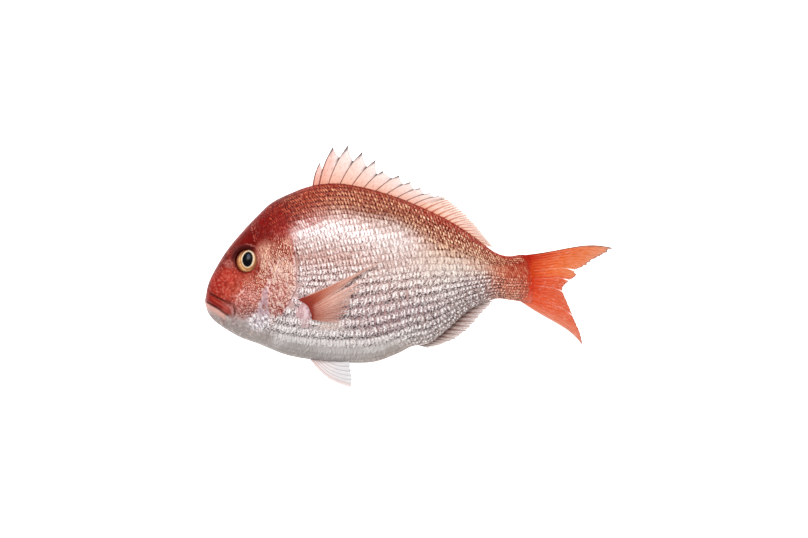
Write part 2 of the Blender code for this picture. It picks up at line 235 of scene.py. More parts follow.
@dataclass(frozen=True)
class BodyForm:
    """The skin of the fish as a surface, in the same measures as the solid body."""

    stations: tuple[tuple[float, float, float, float], ...] = (
        (0.0, -4.9, -6.5, 0.8), (0.7, -1.5, -8.5, 2.1), (2.2, 1.8, -10.4, 3.2), (5.2, 6.7, -12.6, 4.3),
        (8.9, 11.2, -14.6, 5.2), (12.6, 15.1, -15.9, 6.0), (16.0, 18.2, -17.3, 6.7),
        (20.0, 20.3, -18.8, 7.3), (26.0, 22.5, -19.9, 7.8), (33.0, 23.0, -20.6, 7.9),
        (40.8, 21.5, -20.5, 7.5), (46.7, 19.7, -18.5, 6.8), (50.3, 18.3, -16.7, 6.2),
        (54.6, 16.4, -15.9, 5.5), (59.2, 14.1, -12.4, 4.6), (64.5, 10.8, -7.8, 3.5),
        (70.5, 6.4, -5.2, 2.4), (74.0, 5.35, -5.35, 1.8), (77.0, 5.7, -5.8, 1.15),
        (79.2, 5.6, -6.3, 0.6),
    )
    snout_height: float = -5.7
    flattened: float = 0.686
    tail_sag: float = 6.4
    sag_starts: float = 38.0
    gill_ring: float = 22.6
    preopercle_ring: float = 15.9
    forward_at_nape: float = 4.6
    forward_at_throat: float = 10.0
    straight_from: float = 54.0
    gill_step: float = 0.22
    preopercle_step: float = 0.22
    full_relief_from: float = 2.6  # half thickness from which the head's relief is full
    eye_centre: Point = (10.3, 4.2)
    eye_radii: Point = (2.7, 2.8)
    lobe_centre: Point = (24.9, -8.2)
    lobe_radii: Point = (1.5, 2.8)
    lip_line: Line = ((1.1, -5.0), (2.2, -5.6), (3.6, -6.4), (5.5, -7.6))
    jaw_line: Line = ((1.3, -7.4), (2.8, -8.4), (4.7, -9.5))
    mouth_line: Line = ((0.9, -6.05), (1.8, -6.45), (3.2, -7.2), (5.0, -8.5), (5.9, -9.0))
    cheek_crease: Line = (
        (1.2, -3.4), (1.8, -3.8), (3.8, -5.2), (6.4, -6.2), (7.5, -6.8), (7.6, -8.0),
    )
    outline: Array = field(init=False, repr=False)

    def __post_init__(self) -> None:
        """Reads the smooth outline through the stations once."""
        object.__setattr__(self, "outline", smooth_curve(self.stations))

    @property
    def end(self) -> float:
        """Where the flesh ends in the tail fin."""
        return self.stations[-1][0] + 1.0

    def back(self, along: Array) -> Array:
        """Height of the back."""
        return np.interp(along, self.outline[:, 0], self.outline[:, 1])

    def belly(self, along: Array) -> Array:
        """Height of the belly."""
        return np.interp(along, self.outline[:, 0], self.outline[:, 2])

    def half(self, along: Array) -> Array:
        """Half the thickness at the widest height, thinning into the tail fin."""
        thin = 0.50 * ease((along - 77.2) / 3.0)
        return np.interp(along, self.outline[:, 0], self.outline[:, 3]) - thin

    def widest(self, along: Array) -> Array:
        """Height at which the body is thickest."""
        trunk = -2.2 + 2.4 * ease((along - 30) / 30)
        level = self.snout_height + (trunk - self.snout_height) * ease(along / 18)
        stalk = (self.back(along) + self.belly(along)) / 2
        return level + (stalk - level) * ease((along - 62) / 12)

    def power(self, along: Array, rise: Array) -> Array:
        """Superellipse power of the section: a wedge towards the back, full at the belly."""
        trunk = ease((along - 10) / 20) * (1 - ease((along - 60) / 14))
        return np.where(rise > 0, 2.15 - 0.40 * trunk, 2.15 + 0.10 * trunk)

    def middle(self, along: Array) -> Array:
        """Depth of the fish's middle plane over the table, which sags towards the tail."""
        sag = np.maximum(0.0, (along - self.sag_starts) / (100 - self.sag_starts))
        return self.outline[:, 3].max() - self.flattened - self.tail_sag * sag**1.6

    def height(self, along: Array, rise: Array) -> Array:
        """Height of the skin's point at `rise`."""
        widest = self.widest(along)
        up, down = self.back(along) - widest, widest - self.belly(along)
        return widest + rise * np.where(rise > 0, up, down)

    def rise(self, along: Array, height: Array) -> Array:
        """The rise of a point of the side view, kept on the skin."""
        widest = self.widest(along)
        up, down = self.back(along) - widest, widest - self.belly(along)
        above = height - widest
        return np.clip(above / np.where(above > 0, up, down), -1, 1)

    def bent(self, ring: Array, rise: Array) -> Array:
        """Where a ring of the body stands, bent forward most at the gill covers' edges."""
        fade = 1 - ease((ring - self.gill_ring) / (self.straight_from - self.gill_ring))
        return ring - self.forward(rise) * np.where(ring < self.gill_ring, ring / self.gill_ring, fade)

    def forward(self, rise: Array) -> Array:
        """How far the gill covers' edges stand forward at the nape and under the throat."""
        nape = self.forward_at_nape * np.maximum(rise, 0) ** 2
        return nape + self.forward_at_throat * np.maximum(-rise, 0) ** 1.1

    def round_ring(self, turn: Array, ring: Array) -> tuple[Array, Array]:
        """Goes round a ring of the body, from the back down the left flank and up the right."""
        angle = turn * 2 * math.pi
        wave = np.cos(angle)
        rise = np.sign(wave) * np.abs(wave) ** (2 / self.power(ring, wave))
        return rise, np.where(np.sin(angle) >= 0, 1.0, -1.0)

    def skin(self, along: Array, rise: Array, side: Array, raised: Array = 0.0) -> Array:
        """Places of points of the skin."""
        power = self.power(along, rise)
        share = np.maximum(0, 1 - np.abs(rise) ** power) ** (1 / power)
        depth = side * share * (self.half(along) + raised)
        return self.at(along, self.height(along, rise), depth)

    def at(self, along: Array, height: Array, depth: Array) -> Array:
        """Places in metres of points `depth` off the fish's middle plane, over the table."""
        along, height, depth = np.broadcast_arrays(along, height, depth)
        level = np.maximum(self.middle(along) + depth, 0.02)
        return np.column_stack([along - ORIGIN[0], height - ORIGIN[1], level]) * PERCENT

    def normal(self, along: Array, rise: Array, side: Array) -> Array:
        """Directions straight out of the bare skin, one a row.

        Args:
            along: percent of the length.
            rise: from -1 to 1.
            side: 1 or -1.

        Returns:
            Unit vectors.
        """
        step = 0.15
        inner = np.clip(rise, -0.985, 0.985)
        lengthwise = self.skin(along + step, inner, side) - self.skin(along - step, inner, side)
        upward = self.skin(along, inner + 0.01, side) - self.skin(along, inner - 0.01, side)
        out = np.cross(lengthwise, upward) * np.asarray(side).reshape(-1, 1)
        return out / np.linalg.norm(out, axis=1, keepdims=True)

    def gill_free(self, rise: Array) -> Array:
        """How free the gill cover's edge stands: fused at the nape and soft under the throat."""
        return (1 - ease((rise - 0.38) / 0.25)) * (1 - 0.95 * ease((-0.16 - rise) / 0.22))

    def ring_at(self, along: Array, rise: Array) -> Array:
        """The head's ring that passes through a point."""
        return along / (1 - self.forward(rise) / self.gill_ring)

    def held(self, raised: Array, along: Array) -> Array:
        """Relief held back where the head is thin, at the snout."""
        return raised * np.clip(self.half(along) / self.full_relief_from, 0.2, 1)

    def face_relief(self, ring: Array, along: Array, rise: Array) -> Array:
        """What plates, lips, creases, sockets and nostrils add to the head's half thickness.

        Args:
            ring: the head's ring through each point.
            along: percent of the length.
            rise: from -1 to 1.

        Returns:
            Percent of the length.
        """
        height = self.height(along, rise)
        step = self.gill_step * self.gill_free(rise)
        raised = step * ease(ring / self.gill_ring)
        raised = raised + self.preopercle_step * ease((self.preopercle_ring + 0.55 - ring) / 0.55)
        raised -= 0.10 * ease(1 - np.abs(ring - self.preopercle_ring - 0.9) / 0.8)
        inner_ridge = np.abs(ring - self.preopercle_ring + 2.6)
        raised += 0.09 * ease(1 - inner_ridge / 0.7) * (height < 3)
        brow = in_oval(along, height, self.eye_centre, self.eye_radii)
        raised += 0.26 * ease(1 - np.abs(brow - 1.22) / 0.34)
        raised -= 1.05 * ease((1.04 - brow) / 0.16)
        raised += 0.62 * ease(1 - to_line(along, height, self.lip_line) / 1.5)
        raised += 0.34 * ease(1 - to_line(along, height, self.jaw_line) / 1.1)
        raised -= 0.60 * ease(1 - to_line(along, height, self.mouth_line) / 0.42)
        raised -= 0.34 * ease(1 - to_line(along, height, self.cheek_crease) / 0.6)
        for spot, size in (((6.15, 3.75), 0.42), ((5.35, 3.1), 0.26)):
            hole = in_oval(along, height, spot, (size, size * 0.8))
            raised += 0.12 * ease(1 - np.abs(hole - 1.35) / 0.6) - 0.5 * ease(1.1 - hole)
        return raised

    def trunk_relief(self, along: Array, rise: Array) -> Array:
        """What the fleshy lobe of the breast fin adds to the trunk's half thickness."""
        height = self.height(along, rise)
        lobe = in_oval(along, height, self.lobe_centre, self.lobe_radii)
        return 0.5 * ease((1.5 - lobe) / 1.3)


FORM = BodyForm()


@dataclass(frozen=True)
class RowMap:
    """Turns rows of scales, counted from the widest height, into places on the flank."""

    form: BodyForm
    along: Array = field(init=False, repr=False)
    shares: Array = field(init=False, repr=False)
    rises: Array = field(init=False, repr=False)
    girth: Array = field(init=False, repr=False)

    def __post_init__(self) -> None:
        """Measures the skin from the widest height to the back and to the belly."""
        along = np.linspace(1.0, self.form.end, 160)
        shares = np.linspace(0, 1, 61)
        rises, girth = np.zeros((2, 160, 61)), np.zeros((2, 160))
        fine = np.sin(np.linspace(0, math.pi / 2, 120))
        for way, sign in enumerate((1.0, -1.0)):
            for i, a in enumerate(along):
                points = self.form.skin(np.full(120, a), sign * fine, 1.0, 0.0)
                steps = np.linalg.norm(np.diff(points, axis=0), axis=1)
                run = np.concatenate([[0.0], np.cumsum(steps)])
                girth[way, i] = run[-1] / PERCENT
                rises[way, i] = sign * np.interp(shares, run / run[-1], fine)
        for name, value in (("along", along), ("shares", shares), ("rises", rises), ("girth", girth)):
            object.__setattr__(self, name, value)

    def rise(self, along: Array, arc: Array) -> Array:
        """The rise of points `arc` percent up the skin from the widest height.

        Args:
            along: percent of the length.
            arc: percent up the skin, or below 0 for down.

        Returns:
            The rises.
        """
        way = (arc < 0).astype(int)
        place = np.interp(along, self.along, np.arange(len(self.along)))
        low = np.clip(place.astype(int), 0, len(self.along) - 2)
        part = place - low
        girth = self.girth[way, low] * (1 - part) + self.girth[way, low + 1] * part
        share = np.clip(np.abs(arc) / girth, 0, 1) * (len(self.shares) - 1)
        step = np.clip(share.astype(int), 0, len(self.shares) - 2)
        more = share - step
        near = self.rises[way, low, step] * (1 - more) + self.rises[way, low, step + 1] * more
        far = self.rises[way, low + 1, step] * (1 - more) + self.rises[way, low + 1, step + 1] * more
        return near * (1 - part) + far * part


ROWS = RowMap(FORM)


# ---- finishes


def linear(colour: str) -> tuple[float, float, float, float]:
    """A colour given as six hex digits, as the linear values that shaders take."""
    shares = [int(colour[i : i + 2], 16) / 255 for i in (0, 2, 4)]
    lit = [s / 12.92 if s <= 0.04045 else ((s + 0.055) / 1.055) ** 2.4 for s in shares]
    return (*lit, 1.0)


class Socket:
    """A shader value that Python's operators work on, each adding a Math node."""

    def __init__(self, tree: bpy.types.NodeTree, output: bpy.types.NodeSocket) -> None:
        """Wraps an output of a node in a tree."""
        self.tree = tree
        self.output = output

    def math(self, operation: str, *values: "Socket | float") -> "Socket":
        """Adds a Math node.

        Args:
            operation: the node's operation.
            values: its inputs, in order.

        Returns:
            The node's result.
        """
        node = self.tree.nodes.new("ShaderNodeMath")
        node.operation = operation
        for i, value in enumerate(values):
            if isinstance(value, Socket):
                self.tree.links.new(value.output, node.inputs[i])
            else:
                node.inputs[i].default_value = value
        return Socket(self.tree, node.outputs[0])

    def __add__(self, other: "Socket | float") -> "Socket":
        """The sum."""
        return self.math("ADD", self, other)

    __radd__ = __add__

    def __mul__(self, other: "Socket | float") -> "Socket":
        """The product."""
        return self.math("MULTIPLY", self, other)

    __rmul__ = __mul__

    def __sub__(self, other: "Socket | float") -> "Socket":
        """The difference."""
        return self.math("SUBTRACT", self, other)

    def __rsub__(self, other: "Socket | float") -> "Socket":
        """The difference from a number."""
        return self.math("SUBTRACT", other, self)

    def __truediv__(self, other: "Socket | float") -> "Socket":
        """The quotient."""
        return self.math("DIVIDE", self, other)

    def __rtruediv__(self, other: "Socket | float") -> "Socket":
        """A number over this value."""
        return self.math("DIVIDE", other, self)

    def __pow__(self, other: "Socket | float") -> "Socket":
        """The power."""
        return self.math("POWER", self, other)

    def __abs__(self) -> "Socket":
        """The value without its sign."""
        return self.math("ABSOLUTE", self)

    def within(self, low: float, high: float) -> "Socket":
        """0 up to `low`, 1 from `high`, and smooth between them, or the other way round.

        Args:
            low: the value that gives 0.
            high: the value that gives 1.

        Returns:
            The share.
        """
        node = self.tree.nodes.new("ShaderNodeMapRange")
        node.interpolation_type = "SMOOTHSTEP"
        flipped = low > high
        self.tree.links.new(self.output, node.inputs["Value"])
        node.inputs["From Min"].default_value = high if flipped else low
        node.inputs["From Max"].default_value = low if flipped else high
        node.inputs["To Min"].default_value = 1.0 if flipped else 0.0
        node.inputs["To Max"].default_value = 0.0 if flipped else 1.0
        return Socket(self.tree, node.outputs["Result"])


Colour = Socket | str


class Paint:
    """A material in the making."""

    def __init__(self, name: str) -> None:
        """Starts a material with a Principled shader on its output."""
        self.material = bpy.data.materials.new(name)
        self.material.use_nodes = True
        self.tree = self.material.node_tree
        self.shader = self.tree.nodes["Principled BSDF"]

    def node(
        self,
        kind: str,
        settings: dict[str, Any] | None = None,
        inputs: dict[int | str, Any] | None = None,
    ) -> bpy.types.Node:
        """Adds a node.

        Args:
            kind: the node's type.
            settings: its properties, set first.
            inputs: values or links of its sockets, by name or number.

        Returns:
            The node.
        """
        node = self.tree.nodes.new(kind)
        for name, value in (settings or {}).items():
            setattr(node, name, value)
        for key, value in (inputs or {}).items():
            self.feed(node.inputs[key], value)
        return node

    def feed(self, socket: bpy.types.NodeSocket, value: Any) -> None:
        """Sets a socket to a number, a colour in hex or the result of another node."""
        if isinstance(value, Socket):
            self.tree.links.new(value.output, socket)
        else:
            socket.default_value = linear(value) if isinstance(value, str) else value

    def finish(self, **inputs: Any) -> Material:
        """Feeds the shader's sockets, named with _ for a space, and gives the material."""
        for name, value in inputs.items():
            self.feed(self.shader.inputs[name.replace("_", " ")], value)
        return self.material

    def attribute(self, name: str) -> tuple[Socket, Socket, Socket, Socket]:
        """The three numbers kept at each corner under a name, and all of them as a vector."""
        read = self.node("ShaderNodeAttribute", {"attribute_name": name})
        vector = Socket(self.tree, read.outputs["Vector"])
        split = self.node("ShaderNodeSeparateXYZ", inputs={0: vector})
        return (*(Socket(self.tree, out) for out in split.outputs), vector)

    def place(self) -> Socket:
        """The place on the object, in metres."""
        return Socket(self.tree, self.node("ShaderNodeTexCoord").outputs["Object"])

    def spot(self) -> tuple[Socket, Socket]:
        """Along and height of the very point."""
        split = self.node("ShaderNodeSeparateXYZ", inputs={0: self.place()})
        x, y = (Socket(self.tree, split.outputs[i]) for i in (0, 1))
        return x * (1 / PERCENT) + ORIGIN[0], y * (1 / PERCENT) + ORIGIN[1]

    def joined(self, x: Socket, y: Socket) -> Socket:
        """A flat vector of two values."""
        return Socket(self.tree, self.node("ShaderNodeCombineXYZ", inputs={0: x, 1: y}).outputs[0])

    def noise(self, vector: Socket, scale: float, detail: float = 3.0, rough: float = 0.55) -> Socket:
        """Cloudy noise about 0.5.

        Args:
            vector: where it is read.
            scale: how fine it is.
            detail: its octaves.
            rough: how strong the finer ones are.

        Returns:
            The noise.
        """
        made = self.node(
            "ShaderNodeTexNoise",
            inputs={"Vector": vector, "Scale": scale, "Detail": detail, "Roughness": rough},
        )
        return Socket(self.tree, made.outputs["Fac"])

    def mix(self, share: Socket | float, first: Colour, second: Colour, how: str = "MIX") -> Socket:
        """A mix of two colours.

        Args:
            share: how much of the second, from 0 to 1.
            first: a colour.
            second: the colour laid over it.
            how: the blend, such as MIX or MULTIPLY.

        Returns:
            The colour.
        """
        node = self.node(
            "ShaderNodeMix",
            {"data_type": "RGBA", "blend_type": how, "clamp_factor": True},
            {0: share, 6: first, 7: second},
        )
        return Socket(self.tree, node.outputs[2])

    def ramp(self, place: Socket, stops: Stops) -> Socket:
        """A colour that runs through stops.

        Args:
            place: where it is read, from 0 to 1.
            stops: places and colours, in order.

        Returns:
            The colour.
        """
        node = self.node("ShaderNodeValToRGB", inputs={0: place})
        scale = node.color_ramp
        scale.interpolation = "LINEAR"
        for position, colour in stops[1:-1]:
            scale.elements.new(position).color = linear(colour)
        ends = (scale.elements[0], scale.elements[-1])
        for element, (position, colour) in zip(ends, (stops[0], stops[-1])):
            element.position = position
            element.color = linear(colour)
        return Socket(self.tree, node.outputs[0])

    def deepened(self, colour: Socket, power: float) -> Socket:
        """A colour with its contrast raised, as under a wet film."""
        return Socket(self.tree, self.node("ShaderNodeGamma", inputs={0: colour, 1: power}).outputs[0])

    def bump(self, height: Socket, distance: float, strength: float = 1.0) -> Socket:
        """A normal roughened by a height from 0 to 1 that stands for `distance` metres."""
        made = self.node(
            "ShaderNodeBump", inputs={"Height": height, "Distance": distance, "Strength": strength}
        )
        return Socket(self.tree, made.outputs[0])


@dataclass(frozen=True)
class Patch:
    """A soft-edged patch, placed by along and height, with the colour that it may lay."""

    centre: Point
    radii: Point
    colour: str = ""
    strength: float = 1.0

    def share(self, along: Socket, height: Socket) -> Socket:
        """How far it covers a point."""
        across = (along - self.centre[0]) * (1 / self.radii[0])
        up = (height - self.centre[1]) * (1 / self.radii[1])
        return (across * across + up * up).within(1.35, 0.0)

    def over(self, paint: Paint, colour: Colour, along: Socket, height: Socket) -> Socket:
        """A colour with the patch laid over it."""
        return paint.mix(self.share(along, height) * self.strength, colour, self.colour)


@dataclass(frozen=True)
class FleshTones:
    """The colours of the skin: bands from back to belly along the trunk, and the head's patches.

    Each band is where it stands along the fish and its stops, from 0 on the back to 1 on the belly.
    The pale stops about 0.26 of the front bands hold a painted sheen on the silvery upper flank as
    well as its own colour. The darker last stops of the bands and of the head hold painted shade along
    the belly's and the jaw's lower rim, as does the throat patch.
    """

    # the pale stops about 0.26 hold a painted sheen; the darker last stops hold painted shade along the
    # belly's lower rim
    bands: tuple[tuple[float, Stops], ...] = (
        (27.0, (
            (0.0, "A23420"), (0.06, "B2523A"), (0.11, "BA6E58"), (0.17, "C29488"), (0.26, "EEE2E3"),
            (0.34, "D4BDB9"), (0.42, "C99E94"), (0.50, "DEC0BC"), (0.68, "DEBEBE"), (0.82, "E2DDDC"),
            (0.90, "E0DCDB"), (1.0, "B0AAA9"),
        )),
        (46.0, (
            (0.0, "A84430"), (0.04, "B4604A"), (0.12, "A8634E"), (0.18, "CCB0A6"), (0.26, "EEE0DE"),
            (0.34, "DCCAC5"), (0.42, "DAC1BA"), (0.50, "E8D2CA"), (0.58, "D8B6AF"), (0.66, "D8B9B5"),
            (0.74, "B69497"), (0.83, "A48B8D"), (0.89, "E9E6E4"), (0.95, "C0B8B4"), (1.0, "ACA098"),
        )),
        (60.0, (
            (0.0, "A63A28"), (0.10, "B45238"), (0.20, "BE6E52"), (0.34, "E2C8BA"), (0.46, "EBDFDA"),
            (0.60, "E6D7D3"), (0.74, "B29A97"), (0.88, "978079"), (1.0, "8A6C64"),
        )),
        (67.0, (
            (0.0, "A63422"), (0.12, "B8583E"), (0.28, "D09C88"), (0.46, "DDBEB2"), (0.65, "BC938C"),
            (0.85, "A88680"), (1.0, "8E665C"),
        )),
        (71.5, ((0.0, "A03C2A"), (0.14, "AE5A44"), (0.38, "CE846C"), (0.64, "CA6C56"), (1.0, "A8665A"))),
        (75.5, ((0.0, "AC3A26"), (0.25, "BE5438"), (0.5, "D0664C"), (0.75, "DA7256"), (1.0, "CE8872"))),
        (78.4, ((0.0, "B23824"), (0.3, "C45034"), (0.6, "D46042"), (0.8, "D86E54"), (1.0, "D88A76"))),
        (80.0, ((0.0, "C03A24"), (0.4, "D24C32"), (0.7, "D8543A"), (1.0, "DE9484"))),
    )
    # the last stop holds painted shade under the jaw
    head: Stops = (
        (0.0, "80200F"), (0.22, "962A1A"), (0.42, "AC4030"), (0.62, "BE5E50"), (0.76, "BC928C"),
        (0.84, "C4BAB8"), (1.0, "A69D99"),
    )
    patches: tuple[Patch, ...] = (
        Patch((18.5, 13.5), (7.5, 5.0), "960E04"), Patch((12.0, 9.8), (5.4, 3.4), "861204"),
        Patch((22.3, 9.5), (2.6, 4.0), "D09A90", 0.7), Patch((15.2, 5.4), (3.0, 4.0), "D8A592", 0.9),
        Patch((19.0, 5.6), (3.0, 3.0), "A4402C", 0.95), Patch((19.4, 0.6), (4.2, 3.8), "E6C0B8"),
        Patch((18.3, -3.6), (3.8, 3.4), "DEA8A2"), Patch((19.8, -8.0), (4.0, 3.0), "BC7E7C", 0.9),
        Patch((22.2, 1.6), (1.1, 3.6), "F0D4CE", 0.9), Patch((22.0, -3.6), (1.6, 2.2), "F0E0D8", 0.8),
        Patch((18.5, -11.4), (5.5, 2.6), "BFB0AF", 0.9), Patch((11.8, -1.0), (4.2, 2.4), "D48470", 0.75),
        Patch((6.0, -1.0), (4.0, 4.0), "C65A4A", 0.9), Patch((8.2, -2.6), (2.6, 2.0), "CC6E56", 0.6),
        Patch((6.0, 3.4), (1.6, 1.2), "C08078", 0.7), Patch((3.0, -1.5), (1.6, 3.6), "AC3628", 0.8),
        Patch((11.4, -4.6), (3.4, 3.0), "E2A29A", 0.9), Patch((12.2, -8.6), (3.6, 2.2), "A76E69", 0.7),
        Patch((13.4, -10.6), (4.2, 2.6), "D8D0D4", 0.95), Patch((16.6, -15.2), (7.0, 3.0), "B9B0AC", 0.9),
        Patch((7.0, -12.4), (5.0, 2.2), "AFA5A2", 0.95),
    )
    nape: Patch = Patch((23.0, 16.6), (7.5, 5.2), "A8402C", 0.85)
    mauve: Patch = Patch((41.5, -8.5), (8.0, 5.5), "C08A90", 0.35)
    # painted shade along the throat's lower rim
    throat: Patch = Patch((21.5, -18.8), (8.0, 3.6), "A49B94", 0.55)


TONES = FleshTones()


def flesh_colour(paint: Paint, along: Socket, height: Socket, share: Socket) -> Socket:
    """The skin's own colour at a point.

    Args:
        paint: the material.
        along: percent of the length.
        height: in the side view.
        share: 0 on the back to 1 on the belly.

    Returns:
        The colour.
    """
    bands = [paint.ramp(share, stops) for _, stops in TONES.bands]
    colour = bands[0]
    for (start, _), (end, _), band in zip(TONES.bands, TONES.bands[1:], bands[1:]):
        colour = paint.mix(along.within(start, end), colour, band)
    colour = TONES.nape.over(paint, colour, along, height)
    rear_back = share.within(0.13, 0.03) * along.within(46, 56)
    colour = paint.mix(rear_back * 0.85, colour, "B63A24")
    face = paint.ramp(share, TONES.head)
    for patch in TONES.patches:
        face = patch.over(paint, face, along, height)
    low = height + 2.0
    border = low.math("MINIMUM", low, 0.0) * 0.42 + 22.2
    soft = height.within(4.0, 10.0) * 1.8 + 0.9
    colour = TONES.mauve.over(paint, colour, along, height)
    colour = paint.mix(((border - along) / soft).within(-1.0, 1.0), colour, face)
    return TONES.throat.over(paint, colour, along, height)


@dataclass(frozen=True)
class ScaleFinish:
    """Silvery scales with a painted highlight stroke, painted shadow with some dark pigment in front of it
    behind the rim of the scale ahead, and a thin clear rim.

    On the head the painted highlight strokes are cream over red skin.
    """

    name: str = "scales"
    head: bool = False
    lobe: Patch = Patch(FORM.lobe_centre, (2.6, 2.9), "D2AAAE", 0.8)
    armpit: Patch = Patch((30.6, -11.5), (4.4, 1.2), "E6CABC", 0.75)
    shoulder: Patch = Patch((36.0, 12.5), (12.0, 5.0))
    crown: Patch = Patch((18.4, 13.6), (4.6, 5.0), "CC6A52", 0.9)

    def make(self) -> Material:
        """Builds the material.

        Returns:
            The material.
        """
        paint = Paint(self.name)
        along, height, share, _ = paint.attribute("flank")
        back, across, chance, _ = paint.attribute("scale")
        behind = paint.attribute("fold")[0]
        place = paint.place()
        wander = paint.noise(paint.joined(along, height), 0.26, 3)
        share = share + (wander - 0.5) * 0.06
        colour = flesh_colour(paint, along, height, share)
        grit = paint.noise(place, 900, 3, 0.7)
        fleck = grit.within(0.42, 0.58)
        fine = paint.noise(place, 2200, 2)

        # where on the fish a scale lies
        wide = along.within(46.0, 62.0) * along.within(76.0, 68.0)
        on_back = (share - wide * 0.16).within(0.21, 0.11)
        front = along.within(46.0, 34.0) * share.within(0.26, 0.34) * share.within(0.56, 0.46)
        under = share - along.within(43.0, 55.0) * 0.14
        lower = share.within(0.40, 0.56)
        low = lower * under.within(0.94, 0.82)
        belly = under.within(0.82, 0.93)
        stalk = along.within(80.0, 75.5)

        # the painted highlight stroke of one scale, and the thin painted shadow line and the wider painted
        # shadow, partly dark pigment, behind the rim of the scale in front
        lean = 0.15 + on_back * 0.22 - low * 0.27
        warp = paint.noise(place, 420, 2, 0.5) - 0.5
        spot_along, spot_height = paint.spot()
        drift = spot_height * (0.40 - lower * 0.9)
        bristle = paint.noise(paint.joined(spot_along + drift, spot_height * 0.42), 1.7, 3, 0.7)
        stroke_x = back - 0.79 + across * lean + (grit - 0.5) * 0.45
        stroke_x = stroke_x / (0.17 - on_back * 0.02 - low * 0.03)
        stroke_y = (across - low * 0.25 + (grit - 0.5) * 0.9 + warp * 0.9) / (1.20 - low * 0.60)
        stroke = (stroke_x * stroke_x + stroke_y * stroke_y).within(1.3, 0.3)
        behind = behind + (grit - 0.5) * 0.20 + across * lean
        part_rim = (across * (1.0 - low * 1.6) + warp * 1.2 + (1.0 - low) * 0.4).within(-0.6, 0.3)
        hidden = behind.within(-0.30, -0.10)
        # a thin painted shadow just behind the rim of the scale in front, then a wider painted shadow with
        # some dark pigment
        line = behind.within(0.12, 0.02) * part_rim * hidden
        painted_rim_shadow_and_pigment = behind.within(0.22, 0.03) * hidden
        patchy = paint.noise(paint.joined(along * 0.6, height), 0.55, 3).within(0.36, 0.60)
        band = (across + (grit - 0.5) * 1.5 + warp * 0.8).within(-0.02, -0.60)

        # what is dark: painted shadow behind each rim in front, the rows' dark pigment bands and dark
        # flecks
        dark = line * (0.86 - low * 0.3) * (bristle.within(0.36, 0.56) * 0.8 + 0.3)
        dark = dark + painted_rim_shadow_and_pigment * (on_back * 1.05 + front * 0.36 + low * 0.16)
        dark = dark + band * (low * (patchy * 0.60 + 0.40) + on_back * 0.10 + front * 0.12)
        dark = dark + bristle.within(0.49, 0.38) * 0.36
        dark = dark + grit.within(0.47, 0.38) * (low * 0.28 + on_back * 0.20)
        dark = (dark + low * 0.05) * (1.45 - fleck * (1.10 - on_back * 0.45))
        dark = dark * (1.0 - belly * 0.72) * (stalk * 0.72 + 0.28)
        edge = (share - along.within(48.0, 60.0) * 0.04).within(0.045, 0.01)
        lobe = self.lobe.share(along, height).within(0.0, 0.55)
        dark = dark * (1.0 - edge * 0.55) * (1.0 - lobe * 0.85)
        dark = dark * (1.0 - self.armpit.share(along, height) * 0.8)
        colour = self.armpit.over(paint, colour, along, height)
        # dark colours for the painted shadow behind the rims and for the rows' dark pigment bands
        shade = paint.ramp(
            share,
            (
                (0.0, "62150A"), (0.14, "6A2212"), (0.24, "743C2C"), (0.36, "704238"), (0.50, "714C48"),
                (0.64, "543E43"), (0.88, "625859"), (1.0, "7E7775"),
            ),
        )
        if self.head:
            shade = paint.ramp(share, ((0.0, "5A1007"), (0.3, "7A2A1C"), (0.55, "974A40"), (1.0, "7E6664")))
        else:
            row = (1.0 - band) * low * along.within(72.0, 58.0) * (1.0 - along.within(27.0, 22.0) * 0.5)
            colour = paint.mix(row * 0.36, colour, "F4E0DF")
        colour = paint.mix(dark, colour, shade)

        # what is light: the painted highlight stroke on each scale, and light flecks
        nape = on_back * along.within(36.0, 26.0)
        level = on_back * (along.within(44.0, 58.0) * 0.30 + 0.22) + low * 0.36 + 0.32
        level = level - belly * 0.34 - nape * 0.06
        painted_highlight_and_flecks = stroke * level * (chance * 0.3 + fleck * 0.7 + bristle.within(0.42, 0.58) * 1.1 - 0.32)
        painted_highlight_and_flecks = painted_highlight_and_flecks + bristle.within(0.51, 0.62) * (0.29 + low * 0.05 - belly * 0.08)
        painted_highlight_and_flecks = (painted_highlight_and_flecks + fleck * fleck * low * 0.34) * (stalk * 0.55 + 0.45) * (1.0 - edge * 0.65)
        painted_highlight_and_flecks = painted_highlight_and_flecks * (1.0 - lobe * 0.6) * (1.0 - self.shoulder.share(along, height) * 0.5)
